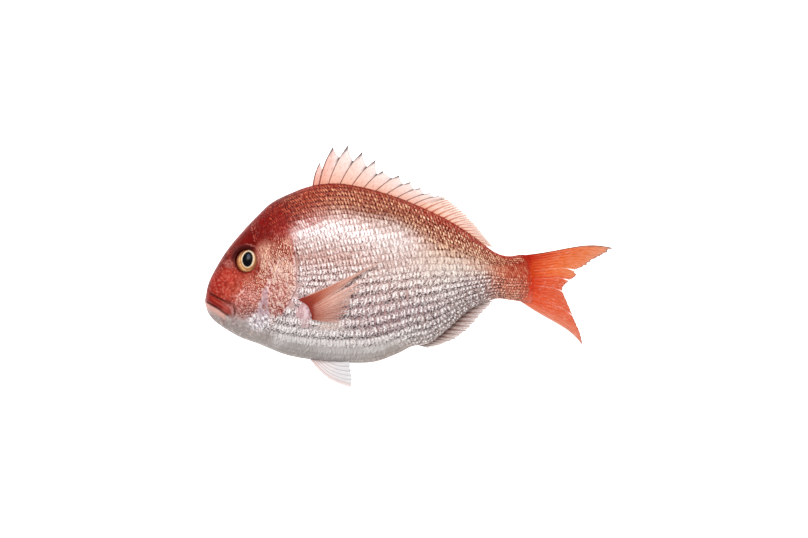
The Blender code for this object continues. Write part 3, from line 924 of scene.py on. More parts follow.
        # the colour of the painted highlights and the light flecks
        cream = paint.mix(on_back, "FFFAF8", "F0C8A8")
        cream = paint.mix(on_back * along.within(33.0, 24.0) * 0.75, cream, "D87C5C")
        cream = self.crown.over(paint, cream, along, height)
        warm = along.within(46.0, 58.0) * share.within(0.62, 0.42)
        cream = paint.mix(warm * 0.55, cream, "FFEDD4")
        cream = paint.mix(along.within(67.0, 73.0) * 0.85, cream, "F6C4A8")
        colour = paint.mix(lobe * self.lobe.strength, colour, self.lobe.colour)
        maroon = (along - FORM.lobe_centre[0] + warp * 1.2).within(0.2, 2.0) * lobe
        colour = paint.mix(maroon * 0.75, colour, "984850")
        if self.head:
            slanted = paint.joined(spot_along + spot_height * 0.3, spot_height * 0.55)
            mottle = paint.noise(slanted, 1.3, 4, 0.7)
            cover = along.within(12.0, 16.0) * share.within(0.36, 0.42)
            colour = paint.mix(mottle.within(0.51, 0.57) * (cover * 0.55 + 0.05), colour, "FBEBE3")
            colour = paint.mix(mottle.within(0.49, 0.41) * (cover * 0.45 + 0.15), colour, "A2463C")
            painted_highlight_and_flecks = stroke * (chance * 0.8 + fleck * 0.5 - 0.05)
            cream = paint.mix(share.within(0.7, 0.8), "F4D6C0", "FFFCFA")
            cream = paint.mix(share.within(0.36, 0.20), cream, "AA3424")
            cream = paint.mix(along.within(14.0, 10.5) * 0.6, cream, "E8A89A")
        colour = paint.mix(painted_highlight_and_flecks, colour, cream)
        return paint.finish(
            Base_Color=paint.deepened(colour, WET), Roughness=0.44 - stroke * 0.08 + (grit - 0.5) * 0.25,
            Specular_IOR_Level=0.10, Metallic=share.within(0.12, 0.24) * 0.15, Coat_Weight=0.05,
            Coat_Roughness=0.15, Normal=paint.bump(grit * 0.7 + fine * 0.3, 0.0003, 0.7),
        )


@dataclass(frozen=True)
class SkinFinish:
    """Wet skin under the scales, and the head's plates with their small bedded scales."""

    name: str
    head: bool
    lobe_fold: Patch = Patch(FORM.lobe_centre, (2.4, 3.8))
    bare_snout: Patch = Patch((13.5, 11.5), (8.5, 6.5))
    silver_jaw: Patch = Patch((13.8, -10.2), (4.4, 3.4))
    scaly_cover: Patch = Patch((18.6, 0.5), (6.0, 10.5))
    scaly_nape: Patch = Patch((21.5, 12.0), (5.5, 9.0))
    scaly_cheek: Patch = Patch((12.2, -5.0), (5.0, 4.6))
    # painted highlight at the upper lip's rear end
    lip_end: Patch = Patch((5.4, -7.9), (1.4, 1.1), "BE6C62", 0.7)

    def make(self) -> Material:
        """Builds the material.

        Returns:
            The material.
        """
        paint = Paint(self.name)
        along, height, share, _ = paint.attribute("flank")
        place = paint.place()
        wander = paint.noise(place, 60, 4) - 0.5
        wander_up = paint.noise(paint.joined(height, along), 0.5, 3) - 0.5
        at_along, at_height = along + wander * 3.0, height + wander_up * 2.4
        colour = flesh_colour(paint, at_along, at_height, share + wander * 0.06)
        grain = paint.noise(place, 420, 3)
        if not self.head:
            shown = along.within(74.0, 68.0)
            lobe = self.lobe_fold.share(along, height)
            shown = shown * (1.0 - lobe)
            colour = paint.mix(shown * 0.35, colour, "8A5A50")
            mottle = (grain - 0.5) * 0.6 + 0.3
            colour = paint.mix(mottle * shown * 0.5, colour, "F3E9E4")
            colour = self.lobe(paint, colour, along, height, lobe)
            return paint.finish(
                Base_Color=paint.deepened(colour, WET), Roughness=0.42, Specular_IOR_Level=0.08,
                Coat_Weight=0.03, Coat_Roughness=0.2, Normal=paint.bump(grain, 0.0002),
            )
        scaly = self.scaly(at_along, at_height)
        flecks = paint.noise(place, 520, 3, 0.7)
        blotch = paint.noise(place, 150, 5, 0.7)
        pale = paint.noise(place, 260, 4, 0.65)
        red = height.within(-12.8, -10.8)
        colour = paint.mix(blotch.within(0.48, 0.62) * 0.40 * red, colour, "A8483A", "MULTIPLY")
        calm = 1.0 - self.bare_snout.share(along, height) * 0.9
        colour = paint.mix(pale.within(0.52, 0.64) * calm * 0.22, colour, "E49A88")
        spot_along, spot_height = paint.spot()
        mottle = paint.noise(paint.joined(spot_along + spot_height * 0.3, spot_height * 0.55), 1.3, 4, 0.7)
        tint = paint.mix(at_height.within(4.0, 9.0), "FBEBE3", "D28470")
        colour = paint.mix(mottle.within(0.51, 0.58) * scaly * calm * 0.6, colour, tint)
        colour = paint.mix(mottle.within(0.49, 0.41) * scaly * 0.5, colour, "A2463C")
        # painted highlight along the head's upper outline, towards the snout
        rim = share.within(0.055, 0.0) * along.within(14.0, 9.0)
        colour = paint.mix(rim * 0.55, colour, "BC8078")
        colour = paint.mix(flecks.within(0.49, 0.36) * (scaly * 0.50 + red * 0.25), colour, "7A241A")
        colour = paint.mix(flecks.within(0.51, 0.60) * (scaly * 0.72 + 0.10) * calm, colour, tint)
        silver = self.silver_jaw.share(at_along, at_height)
        slanted = paint.joined(along * 0.9 + height * 0.6, height * 0.5 - along * 0.3)
        foil = paint.noise(slanted, 1.5, 4, 0.7)
        colour = paint.mix(foil.within(0.51, 0.58) * silver * 0.85, colour, "FDFCFD")
        colour = paint.mix(foil.within(0.48, 0.40) * silver * 0.65, colour, "6E6068")
        jaw = height.within(-9.5, -12.0) * along.within(14.0, 10.0)
        colour = paint.mix(pale.within(0.50, 0.62) * jaw * 0.35, colour, "F1ECEA")
        colour = paint.mix(self.streak(at_along, at_height) * 0.62, colour, "C9B6BE")
        # painted shade and a painted highlight arc round the eye
        colour = self.eye_shade(paint, colour, along, height)
        colour = self.mouth(paint, colour, along + wander * 0.5, height + wander_up * 0.5)
        height_map = flecks * scaly * 0.6 + grain * 0.35 + blotch * 0.3 + foil * silver * 0.5
        return paint.finish(
            Base_Color=paint.deepened(colour, WET), Roughness=0.38 + (grain - 0.5) * 0.25,
            Specular_IOR_Level=0.07, Coat_Weight=0.03, Coat_Roughness=0.12,
            Normal=paint.bump(height_map, 0.0005, 0.8),
        )

    def lobe(self, paint: Paint, colour: Socket, along: Socket, height: Socket, share: Socket) -> Socket:
        """The pink fleshy lobe that carries the breast fin, with a painted highlight in the middle, painted
        shade towards its edges and darker maroon towards its rear.

        Args:
            paint: the material.
            colour: the colour so far.
            along: percent of the length.
            height: in the side view.
            share: how far the lobe covers the point.

        Returns:
            The colour.
        """
        across = (along - FORM.lobe_centre[0]) * (1 / FORM.lobe_radii[0])
        up = (height - FORM.lobe_centre[1]) * (1 / FORM.lobe_radii[1])
        out = (across * across + up * up) ** 0.5
        grain = paint.noise(paint.place(), 330, 4, 0.6)
        colour = paint.mix(share.within(0.15, 0.60), colour, "CBA2A4")
        # painted highlight over the lobe's middle
        shine = (out + across * 0.3 + (grain - 0.5) * 1.2).within(0.95, 0.25)
        colour = paint.mix(shine * 0.85, colour, "E9D6DA")
        # painted shade in grainy patches towards the lobe's edges
        rough = grain.within(0.52, 0.40) * out.within(0.5, 1.1) * share
        colour = paint.mix(rough * 0.45, colour, "8A5A5C")
        maroon = (across + up * 0.2 + (grain - 0.5) * 0.8).within(0.1, 1.1) * share
        return paint.mix(maroon * 0.8, colour, "984850")

    def scaly(self, along: Socket, height: Socket) -> Socket:
        """Where small scales show: behind the eye, on the gill cover and the nape."""
        cover, nape = self.scaly_cover.share(along, height), self.scaly_nape.share(along, height)
        cheek = self.scaly_cheek.share(along, height) * 0.8
        return cover.math("MAXIMUM", cover, cover.math("MAXIMUM", nape, cheek))

    def streak(self, along: Socket, height: Socket) -> Socket:
        """The pale lilac streak that widens down the front plate's rear edge."""
        reach = height.within(-0.6, -3.0) * height.within(-10.5, -8.0)
        left = 15.5 + (height + 1.0) * 0.36
        return (along - left).within(-0.5, 0.6) * (along - 15.9).within(0.4, -0.4) * reach

    def eye_shade(self, paint: Paint, colour: Socket, along: Socket, height: Socket) -> Socket:
        """Painted shade over the eye's upper front with a painted highlight arc in it, and the thin dark
        rim all round the eye.

        Args:
            paint: the material.
            colour: the colour so far.
            along: percent of the length.
            height: in the side view.

        Returns:
            The colour.
        """
        across = (along - FORM.eye_centre[0]) * (1 / FORM.eye_radii[0])
        up = (height - FORM.eye_centre[1]) * (1 / FORM.eye_radii[1])
        rough = paint.noise(paint.joined(along * 1.3, height * 0.9), 1.4, 4, 0.6) - 0.5
        out = (across * across + up * up) ** 0.5 + rough * 0.45
        high = (up - across * 0.45).within(0.15, 0.95)
        # painted shade over the eye's upper front
        eye_shade = out.within(1.58, 1.22) * high
        colour = paint.mix(eye_shade * 0.9, colour, "541210")
        # painted highlight arc in that shade
        shine = abs(out - 1.42).within(0.10, 0.02) * high * (across * 0.9 + 0.3).within(0.0, 0.5)
        colour = paint.mix(shine * 0.5, colour, "C58A80")
        fold = abs(out - 1.30).within(0.12, 0.03) * (across * 0.8 - up * 0.1).within(0.3, 0.9)
        colour = paint.mix(fold * 0.6, colour, "8A3F2A")
        rim = out.within(1.20, 1.06)
        return paint.mix(rim * (0.45 - across * 0.20), colour, "5A1A10")

    def mouth(self, paint: Paint, colour: Socket, along: Socket, height: Socket) -> Socket:
        """Red upper lip and pale lower lip, painted shade in the slit between them, in the cheek's crease
        and in the mouth's corner, and painted highlights along the upper lip and at its rear end.

        Args:
            paint: the material.
            colour: the colour so far.
            along: percent of the length.
            height: in the side view.

        Returns:
            The colour.
        """
        slit = height + 5.5 + along * 0.5 + (along * along) * 0.018
        lip_end = (along + (slit - 1.3) ** 2.0 * 0.8).within(7.1, 6.2)
        lip = slit.within(0.0, 0.3) * slit.within(2.5, 1.9) * lip_end
        colour = paint.mix(lip * 0.9, colour, "9C3129")
        # painted highlight at the upper lip's rear end
        colour = self.lip_end.over(paint, colour, along, height)
        chin = slit.within(0.0, -0.3) * slit.within(-2.1, -1.3) * along.within(5.8, 4.6)
        colour = paint.mix(chin * 0.9, colour, "D9B3AA")
        # painted shade in the mouth's slit
        dark = (slit * slit).within(0.20, 0.0) * (1.0 - along.within(2.5, 5.0) * 0.5)
        dark = dark * along.within(6.4, 5.8) * along.within(-0.2, 0.8)
        colour = paint.mix(dark * 0.60, colour, "5A1E1A")
        # painted highlight along the upper lip's ridge
        ridge = abs(slit - 1.55).within(0.35, 0.05) * along.within(1.0, 3.0) * along.within(6.4, 5.4)
        colour = paint.mix(ridge * 0.25, colour, "E08A70")
        # painted shade in the cheek's crease
        crease = abs(height + 3.05 + along * 0.50).within(0.50, 0.08) * (1.0 - along.within(4.0, 6.0) * 0.5)
        crease = crease * along.within(0.8, 1.6) * along.within(7.6, 7.0)
        colour = paint.mix(crease * 0.75, colour, "4E120E")
        # painted shade in the mouth's corner crease
        bend = (height + 8.1) * (height + 8.1) * 0.16
        corner = abs(along - 7.55 + bend).within(0.42, 0.05)
        corner = corner * height.within(-6.4, -7.2) * height.within(-9.8, -8.4)
        return paint.mix(corner * 0.7, colour, "5E1E1A")


@dataclass(frozen=True)
class EyeFinish:
    """A dark pupil in a cream ring, gold towards the rim, under a clear wet front."""

    name: str = "eye"

    def make(self) -> Material:
        """Builds the material.

        Returns:
            The material.
        """
        paint = Paint(self.name)
        across, up, _, flat = paint.attribute("eye")
        pupil_x, pupil_y = (across - 0.21) * (1 / 0.43), (up - 0.10) * (1 / 0.62)
        pupil = (pupil_x * pupil_x + pupil_y * pupil_y) ** 0.5
        ring_x, ring_y = (across - 0.23) * (1 / 0.60), (up - 0.12) * (1 / 0.79)
        ring = (ring_x * ring_x + ring_y * ring_y) ** 0.5
        turn = ring_y.math("ARCTAN2", ring_y, ring_x)
        streaks = paint.noise(paint.joined(turn * 3.2, ring * 1.2), 4.0, 3)
        clouds = paint.noise(flat, 3.0, 3)
        iris = paint.ramp(
            ring * 0.5 + (streaks - 0.5) * 0.10,
            (
                (0.0, "5A3A20"), (0.36, "C09A70"), (0.42, "E6D6C0"), (0.465, "E4CDAC"), (0.50, "C08A58"),
                (0.55, "BA7A3C"), (0.64, "E6BC88"), (0.74, "BA7844"), (0.86, "A0603A"), (0.94, "7A3822"),
            ),
        )
        shaded = (up * 0.80 - across * 0.55).within(0.30, 0.85) * ring.within(0.96, 1.08)
        iris = paint.mix(shaded * 0.95, iris, "4E1410")
        right = (across - up * 0.15).within(0.45, 0.85) * ring.within(1.0, 1.1)
        iris = paint.mix(right * 0.7, iris, "8A5038")
        iris = paint.mix(clouds.within(0.50, 0.66) * 0.5, iris, "94582E")
        colour = paint.mix(pupil.within(1.14, 1.0), iris, "3A2618")
        colour = paint.mix(pupil.within(1.04, 0.94), colour, "040408")
        # painted reflection in the pupil's upper part
        reflection_x, reflection_y = (across - 0.27) * (1 / 0.15), (up - 0.38) * (1 / 0.20)
        pupil_reflection = (reflection_x * reflection_x + reflection_y * reflection_y).within(1.2, 0.2) * pupil.within(1.0, 0.85)
        colour = paint.mix(pupil_reflection * 0.5, colour, "5A607A")
        return paint.finish(
            Base_Color=colour, Roughness=0.3, Specular_IOR_Level=0.04, Coat_Weight=0.10,
            Coat_Roughness=0.08,
        )


@dataclass(frozen=True)
class FinFinish:
    """A thin clear web between coloured rays.

    Its colours run from the root to the edge.
    """

    name: str
    web: Stops
    ray: Stops
    rays: float
    clear: float = 0.35
    clear_at_edge: float = 0.45
    forks: float = 1.0
    edge: str = "8A6A60"
    edge_share: float = 0.0
    gloss: float = 0.45
    depth: float = 1.3
    streaks: float = 0.35
    sides: tuple[tuple[float, float, str, float], ...] = ()  # start and full across, colour, strength
    slits: tuple[tuple[float, float, float], ...] = ()  # place across, start out, half width
    ray_width: float = 0.6
    tips: str = ""  # the spines' tips

    def make(self) -> Material:
        """Builds the material.

        Returns:
            The material.
        """
        paint = Paint(self.name)
        across, out, solid, _ = paint.attribute("share")
        count = across * self.rays
        fine = paint.noise(paint.joined(count * 1.3, out * 2.5), 2.4, 3)
        line = abs(count.math("FRACT", count + 0.5) - 0.5) * 2
        rays = line.within(self.ray_width, self.ray_width * 0.4)
        twice = count * 2 + 0.5
        branch = (abs(twice.math("FRACT", twice) - 0.5) * 2).within(0.75, 0.25)
        rays = rays.math("MAXIMUM", rays, branch * out.within(0.35, 0.75) * self.forks)
        joint = out * 46
        joints = abs(joint.math("FRACT", joint) - 0.5).within(0.42, 0.5) * out.within(0.35, 0.55)
        web = paint.ramp(out + (fine - 0.5) * 0.16, self.web)
        bone = paint.ramp(out + (fine - 0.5) * 0.10, self.ray)
        colour = paint.mix(rays * 0.9, web, bone)
        for start, full, tint, strength in self.sides:
            side = (across + (fine - 0.5) * 0.06).within(start, full)
            side = side * (1.0 - solid * 0.9) * out.within(-0.02, 0.10)
            colour = paint.mix(side * strength, colour, tint)
        colour = paint.mix(joints * rays * 0.30, colour, "FFE9DF")
        streak = paint.noise(paint.joined(count * 4, out * 2.5), 3.0, 3, 0.65)
        shown = out.within(0.08, 0.40) * self.streaks
        colour = paint.mix(streak.within(0.52, 0.66) * shown, colour, "FFF1EA")
        colour = paint.mix(streak.within(0.46, 0.32) * self.streaks * 1.2, colour, "9A4030", "MULTIPLY")
        if self.edge_share:
            colour = paint.mix(out.within(1 - self.edge_share, 1.0) * 0.8, colour, self.edge)
        clear = self.clear + out * out * (self.clear_at_edge - self.clear)
        alpha = 1.0 - clear * (1.0 - rays * 0.6) * (1.0 - solid)
        if self.tips:
            tip = out.within(0.70, 0.95) * line.within(0.45, 0.10)
            colour = paint.mix(tip * 0.85, colour, self.tips)
            alpha = alpha.math("MAXIMUM", alpha, tip)
        for place, start, half in self.slits:
            width = out.within(start, 1.0) * half
            alpha = alpha * (abs(across + (fine - 0.5) * 0.01 - place) - width).within(-0.002, 0.003)
        return paint.finish(
            Base_Color=paint.deepened(colour, self.depth), Roughness=self.gloss, Alpha=alpha,
            Specular_IOR_Level=0.06, Normal=paint.bump(rays * 0.7 + fine * 0.3, 0.0003, 0.7),
        )


# ---- the fish's pieces


def flank_note(piece: Piece, along: Array, rise: Array) -> None:
    """Keeps along, height and the share from back to belly at each corner of a piece."""
    height = FORM.height(along, rise)
    back, belly = FORM.back(along), FORM.belly(along)
    note(piece, "flank", np.column_stack([along, height, (back - height) / (back - belly)]))


def dress(piece: Piece, finish: Material, slot: str, *nodes: str) -> None:
    """Gives a piece its finish, lets it ride on the fish and stand for solids.

    Args:
        piece: the finished piece.
        finish: its material.
        slot: not used.
        nodes: the solids that it stands for.
    """
    piece.data.materials.clear()
    piece.data.materials.append(finish)
    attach(piece, "root")
    if nodes:
        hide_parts(*nodes)
    log.info("%s: %d faces", piece.name, len(piece.data.polygons))


@dataclass
class HeadSkin:
    """The head with its lips, creases, nostrils, sockets and the gill covers' free edges."""

    rings: int = 200
    around: int = 440
    nose: float = 0.035  # share of the rings that round off the snout
    reach: float = 0.08  # percent that the snout reaches past the first ring
    rim: float = 0.975  # where the gill cover's edge starts to turn in
    tuck: float = 0.75  # percent that the edge turns in
    finish: SkinFinish = SkinFinish("head_skin", head=True)

    def build(self) -> Piece:
        """Lays the skin from the snout to the gill covers' edges.

        Returns:
            The piece.
        """
        kept: dict[str, Array] = {}

        def place(turn: Array, out: Array) -> Array:
            """Places for shares of the turn and of the way to the gill covers' edges."""
            ring = FORM.gill_ring * np.clip((out - self.nose) / (self.rim - self.nose), 0, 1) ** 1.05
            rise, side = FORM.round_ring(turn, ring)
            along = FORM.bent(ring, rise)
            raised = FORM.face_relief(ring, along, rise)
            tucked = ease((out - self.rim) / (1 - self.rim))
            raised = raised - tucked * self.tuck * FORM.gill_free(rise)
            along = along + 0.10 * np.sin(tucked * math.pi)
            places = FORM.skin(along, rise, side, FORM.held(raised, along))
            near = np.clip(out / self.nose, 0, 1)
            shrink = np.sqrt(near * (2 - near))
            tip = FORM.at(-self.reach, FORM.snout_height, 0.0)
            first = shrink < 1
            places[first] = tip + (places[first] - tip) * shrink[first, None]
            places[first, 0] = tip[0, 0] + (1 - np.sqrt(1 - shrink[first] ** 2)) * self.reach * PERCENT
            kept["along"], kept["rise"] = along, rise
            return places

        piece = laid_sheet("head_skin", self.around, self.rings, place)
        flank_note(piece, kept["along"], kept["rise"])
        close_up(piece)
        return piece

    def dress(self) -> None:
        """Builds and paints the skin, which stands for the body with the trunk's."""
        dress(self.build(), self.finish.make(), "skin", "body")


@dataclass
class TrunkSkin:
    """The skin from under the gill covers to the tail fin, with the breast fins' lobes."""

    rings: int = 210
    around: int = 260
    start: float = 22.0
    closing: float = 0.985  # share of the rings from which the rear closes
    finish: SkinFinish = SkinFinish("trunk_skin", head=False)

    def build(self) -> Piece:
        """Lays the skin and closes it in the root of the tail fin.

        Returns:
            The piece.
        """
        kept: dict[str, Array] = {}

        def place(turn: Array, out: Array) -> Array:
            """Places for shares of the turn and of the way to the tail fin."""
            ring = self.start + (FORM.end - self.start) * np.clip(out / self.closing, 0, 1)
            rise, side = FORM.round_ring(turn, ring)
            along = FORM.bent(ring, rise)
            ragged = 0.9 * rise**2 + 0.25 * np.sin(rise * 9.0) + 0.12 * np.sin(rise * 23.0)
            along = along - ragged * ease((ring - 77.0) / 3.2)
            sunk = 0.18 * ease((24.0 - ring) / 2.0) * FORM.gill_free(rise)
            raised = FORM.trunk_relief(along, rise) - sunk
            places = FORM.skin(along, rise, side, raised)
            close = ease((out - self.closing) / 0.015)[:, None]
            end = FORM.at(along, FORM.widest(along), np.zeros_like(along))
            kept["along"], kept["rise"] = along, rise
            return places + (end - places) * close

        piece = laid_sheet("trunk_skin", self.around, self.rings, place)
        flank_note(piece, kept["along"], kept["rise"])
        close_up(piece)
        return piece

    def dress(self) -> None:
        """Builds and paints the skin."""
        dress(self.build(), self.finish.make(), "skin", "body")


def scale_piece(
    name: str, flank: Flank, template: Template, places: Array, spots: tuple[Array, Array], luck: Array
) -> Piece:
    """Makes one piece of the copies of a scale.

    Args:
        name: the piece's name before its flank's.
        flank: the flank that it lies on.
        template: the scale's corners, folds and faces.
        places: where the corners of all copies stand, one a row.
        spots: along and rise of each copy.
        luck: a random share for each copy.

    Returns:
        The piece.
    """
    shape, behind, faces = template
    count, corners = len(luck), len(shape)
    mesh = bpy.data.meshes.new(f"{name}_{flank.name.lower()}")
    every = (faces[None] + np.arange(count)[:, None, None] * corners).reshape(-1, 4)
    if flank is Flank.RIGHT:
        every = every[:, ::-1]
    mesh.from_pydata(places.tolist(), [], every.tolist())
    piece = bpy.data.objects.new(mesh.name, mesh)
    bpy.context.scene.collection.objects.link(piece)
    flank_note(piece, *(np.repeat(values, corners) for values in spots))
    note(piece, "scale", np.column_stack([np.tile(shape[:, :2], (count, 1)), np.repeat(luck, corners)]))
    note(piece, "fold", np.outer(np.tile(behind, count), (1.0, 0.0, 0.0)))
    only(piece)
    bpy.ops.object.shade_smooth()
    return piece


@dataclass
class ScaleCoat:
    """The overlapping scales of one flank.

    Above the lateral line the rows follow the back; below it they run along the flank.
    """

    flank: Flank
    upper_rows: int = 9
    upper_size: float = 0.84
    middle_rows: int = 15  # tried under the lateral line; most end where they meet it
    middle_size: float = 0.92
    lower_rows: tuple[float, ...] = (1.0, 1.0, 1.0, 1.0, 1.0, 0.85, 0.7, 0.6, 0.5, 0.45, 0.4)
    column: Line = (
        (12.0, 0.56), (20.0, 0.64), (24.0, 0.70), (30.0, 0.86), (38.0, 1.00), (55.0, 1.00), (64.0, 0.90),
        (72.0, 0.72), (80.0, 0.52),
    )
    lateral: Line = (
        (11.0, 8.5), (20.0, 12.0), (26.3, 13.4), (34.3, 14.3), (45.7, 12.5), (54.3, 8.9), (64.0, 4.6),
        (73.0, 1.9), (80.0, 0.8),
    )
    length: float = 1.9  # a scale's length, in columns
    half: float = 0.60  # half its height, in rows
    sunk: float = 0.045  # percent under the skin at its front
    lift: float = 0.16  # percent over the skin at its rear edge
    finish: ScaleFinish = ScaleFinish()

    @staticmethod
    def rim(across: Array) -> Array:
        """Where a scale's rear edge runs, as a share of its length."""
        return 0.52 + 0.48 * (1 - np.clip(np.abs(across), 0, 1) ** 2.3) ** (1 / 2.3)

    def template(self) -> Template:
        """One scale, rounded at the rear, as shares of its size.

        Returns:
            Its corners as front to back, across and up; how far each lies behind the scales in
            front; and its faces.
        """
        deselect()
        bpy.ops.mesh.primitive_grid_add(x_subdivisions=6, y_subdivisions=5, size=2)
        piece = bpy.context.active_object
        flat = corners_of(piece)
        faces = np.array([list(p.vertices) for p in piece.data.polygons])
        bpy.data.objects.remove(piece)
        back, across = (flat[:, 0] + 1) / 2, flat[:, 1]
        skirt = back > 0.99
        inner = np.minimum(back / (5 / 6), 1.0) ** 0.7
        reach = self.rim(across)
        taper = 1 - 0.16 * (1 - inner) ** 2
        up = inner**1.4 - 0.35 * across**2
        up = np.where(skirt, up - 0.62, up)
        place = inner * reach
        ahead = self.rim(across) - 1 / self.length
        beside = (1 - np.abs(across) * self.half) / self.half
        reach_beside = np.where(beside < 1, self.rim(beside) - 0.5 / self.length, 0.0)
        behind = place - np.maximum(ahead, reach_beside)
        return np.column_stack([place, across * taper, up]), behind, faces

    def rows(self) -> list[tuple[Array, Array, Array, float, float]]:
        """The rows from the back to the lateral line, under it to the widest height, and below.

        Returns:
            Each row's along, arc, row height, phase along it and its columns' size.
        """
        a = np.linspace(11.0, FORM.end, 300)
        line = np.interp(a, *zip(*self.lateral))
        span = np.linspace(0, 1, 41)
        girth = np.interp(a, ROWS.along, ROWS.girth[0])
        low_girth = np.interp(a, ROWS.along, ROWS.girth[1])
        tried = np.array([FORM.height(a, ROWS.rise(a, girth * s)) for s in span])
        lateral = np.array([np.interp(line[i], tried[:, i], span * girth[i]) for i in range(len(a))])
        made = []
        upper = (girth - lateral) / self.upper_rows
        for j in range(self.upper_rows):
            made.append((a, girth - (j + 0.45) * upper, upper, 0.5 * (j % 2), self.upper_size))
        up_pitch = np.interp(a, (20, 26, 34, 50, 60, 68, 76), (1.15, 1.35, 1.65, 1.75, 1.6, 1.3, 0.95))
        for q in range(self.middle_rows):
            arc = (q + 0.5) * up_pitch
            keep = arc < lateral + 0.30 * up_pitch
            made.append((a, np.where(keep, arc, np.nan), up_pitch, 0.5 * (q % 2), self.middle_size))
        heights = np.array(self.lower_rows)
        unit = np.maximum(low_girth / heights.sum(), 0.42)
        for q, low in enumerate(np.cumsum(heights) - heights / 2):
            arc = -low * unit
            keep = -arc < low_girth - 0.2 * unit
            size = float(np.interp(heights[q], (0.4, 1.0), (0.72, 1.0)))
            pitch = unit * heights[q]
            made.append((a, np.where(keep, arc, np.nan), pitch, 0.5 * ((q + 1) % 2), size))
        return made

    def spots(self) -> Array:
        """Steps along the rows.

        Returns:
            Along, arc, slope, column and row height of each spot for a scale, one a row.
        """
        spots = []
        for a, arc, pitch, phase, size in self.rows():
            column = np.interp(a, *zip(*self.column)) * size
            slope = np.gradient(np.nan_to_num(arc, nan=0.0), a)
            slope = np.where(np.isnan(arc), 0, np.clip(slope, -0.9, 0.9))
            step = 1.06 / column
            count = np.concatenate([[0], np.cumsum((step[1:] + step[:-1]) / 2 * np.diff(a))])
            for n in np.arange(math.ceil(phase), count[-1]) + phase:
                at = float(np.interp(n, count, a))
                here = float(np.interp(at, a, arc))
                if math.isnan(here):
                    continue
                lean = math.atan(np.interp(at, a, slope))
                spots.append((at, here, lean, np.interp(at, a, column), np.interp(at, a, pitch)))
        return np.array(spots)

    def build(self) -> Piece:
        """Lays every scale on the flank, each bent to the skin under it.

        The scales follow a curved skin, so they are laid in code from the one that is modelled.

        Returns:
            The piece.
        """
        template = self.template()
        shape = template[0]
        side = float(self.flank.value)
        chance = np.random.default_rng(11 + self.flank.value)
        spots = self.spots()
        rise = ROWS.rise(spots[:, 0], spots[:, 1])
        early = 23.0 - 3.0 * ease((-0.30 - rise) / 0.12) - 5.4 * ease((rise - 0.34) / 0.14)
        first = early + chance.normal(0, 0.35, len(rise))
        behind_gill = spots[:, 0] > FORM.bent(first, rise) + 0.5
        lobe = in_oval(spots[:, 0], FORM.height(spots[:, 0], rise), FORM.lobe_centre, FORM.lobe_radii)
        tail = 79.4 - 2.0 * np.abs(rise) ** 2 + chance.normal(0, 0.45, len(rise))
        spots = spots[behind_gill & (spots[:, 0] < tail) & (lobe > 0.45)]
        spots = spots[np.argsort(-spots[:, 0])]
        count, corners = len(spots), len(shape)
        jitter = chance.normal(0, 1, (count, 4))
        at, arc, lean, column, pitch = (spots[:, [i]] for i in range(5))
        lean = lean + jitter[:, [0]] * 0.10
        at = at + jitter[:, [3]] * 0.10 * column
        along_it = (shape[None, :, 0] - SCALE_MIDDLE) * column * self.length
        across_it = shape[None, :, 1] * pitch * self.half * (1 + 0.08 * jitter[:, [1]])
        a = at + along_it * np.cos(lean) - across_it * np.sin(lean)
        up_skin = arc + along_it * np.sin(lean) + across_it * np.cos(lean)
        a, up_skin = a.ravel(), up_skin.ravel()
        up_rise = ROWS.rise(a, up_skin)
        raised = FORM.trunk_relief(a, up_rise)
        skin = FORM.skin(a, up_rise, side, raised)
        out = FORM.normal(a, up_rise, np.full(len(a), side))
        strength = np.repeat(1 + 0.10 * jitter[:, 2], corners)
        size = np.repeat(np.clip(column[:, 0] / 1.2, 0.55, 1.0), corners)
        height = (-self.sunk + self.lift * np.tile(shape[:, 2], count) * strength) * size
        places = skin + out * (height * PERCENT)[:, None]
        places[:, 2] = np.maximum(places[:, 2], TABLE_GAP)
        centres = spots[:, 0], ROWS.rise(spots[:, 0], spots[:, 1])
        return scale_piece("scales", self.flank, template, places, centres, chance.random(count))

    def dress(self, finish: Material) -> None:
        """Builds the scales and gives them their finish."""
        dress(self.build(), finish, "skin")


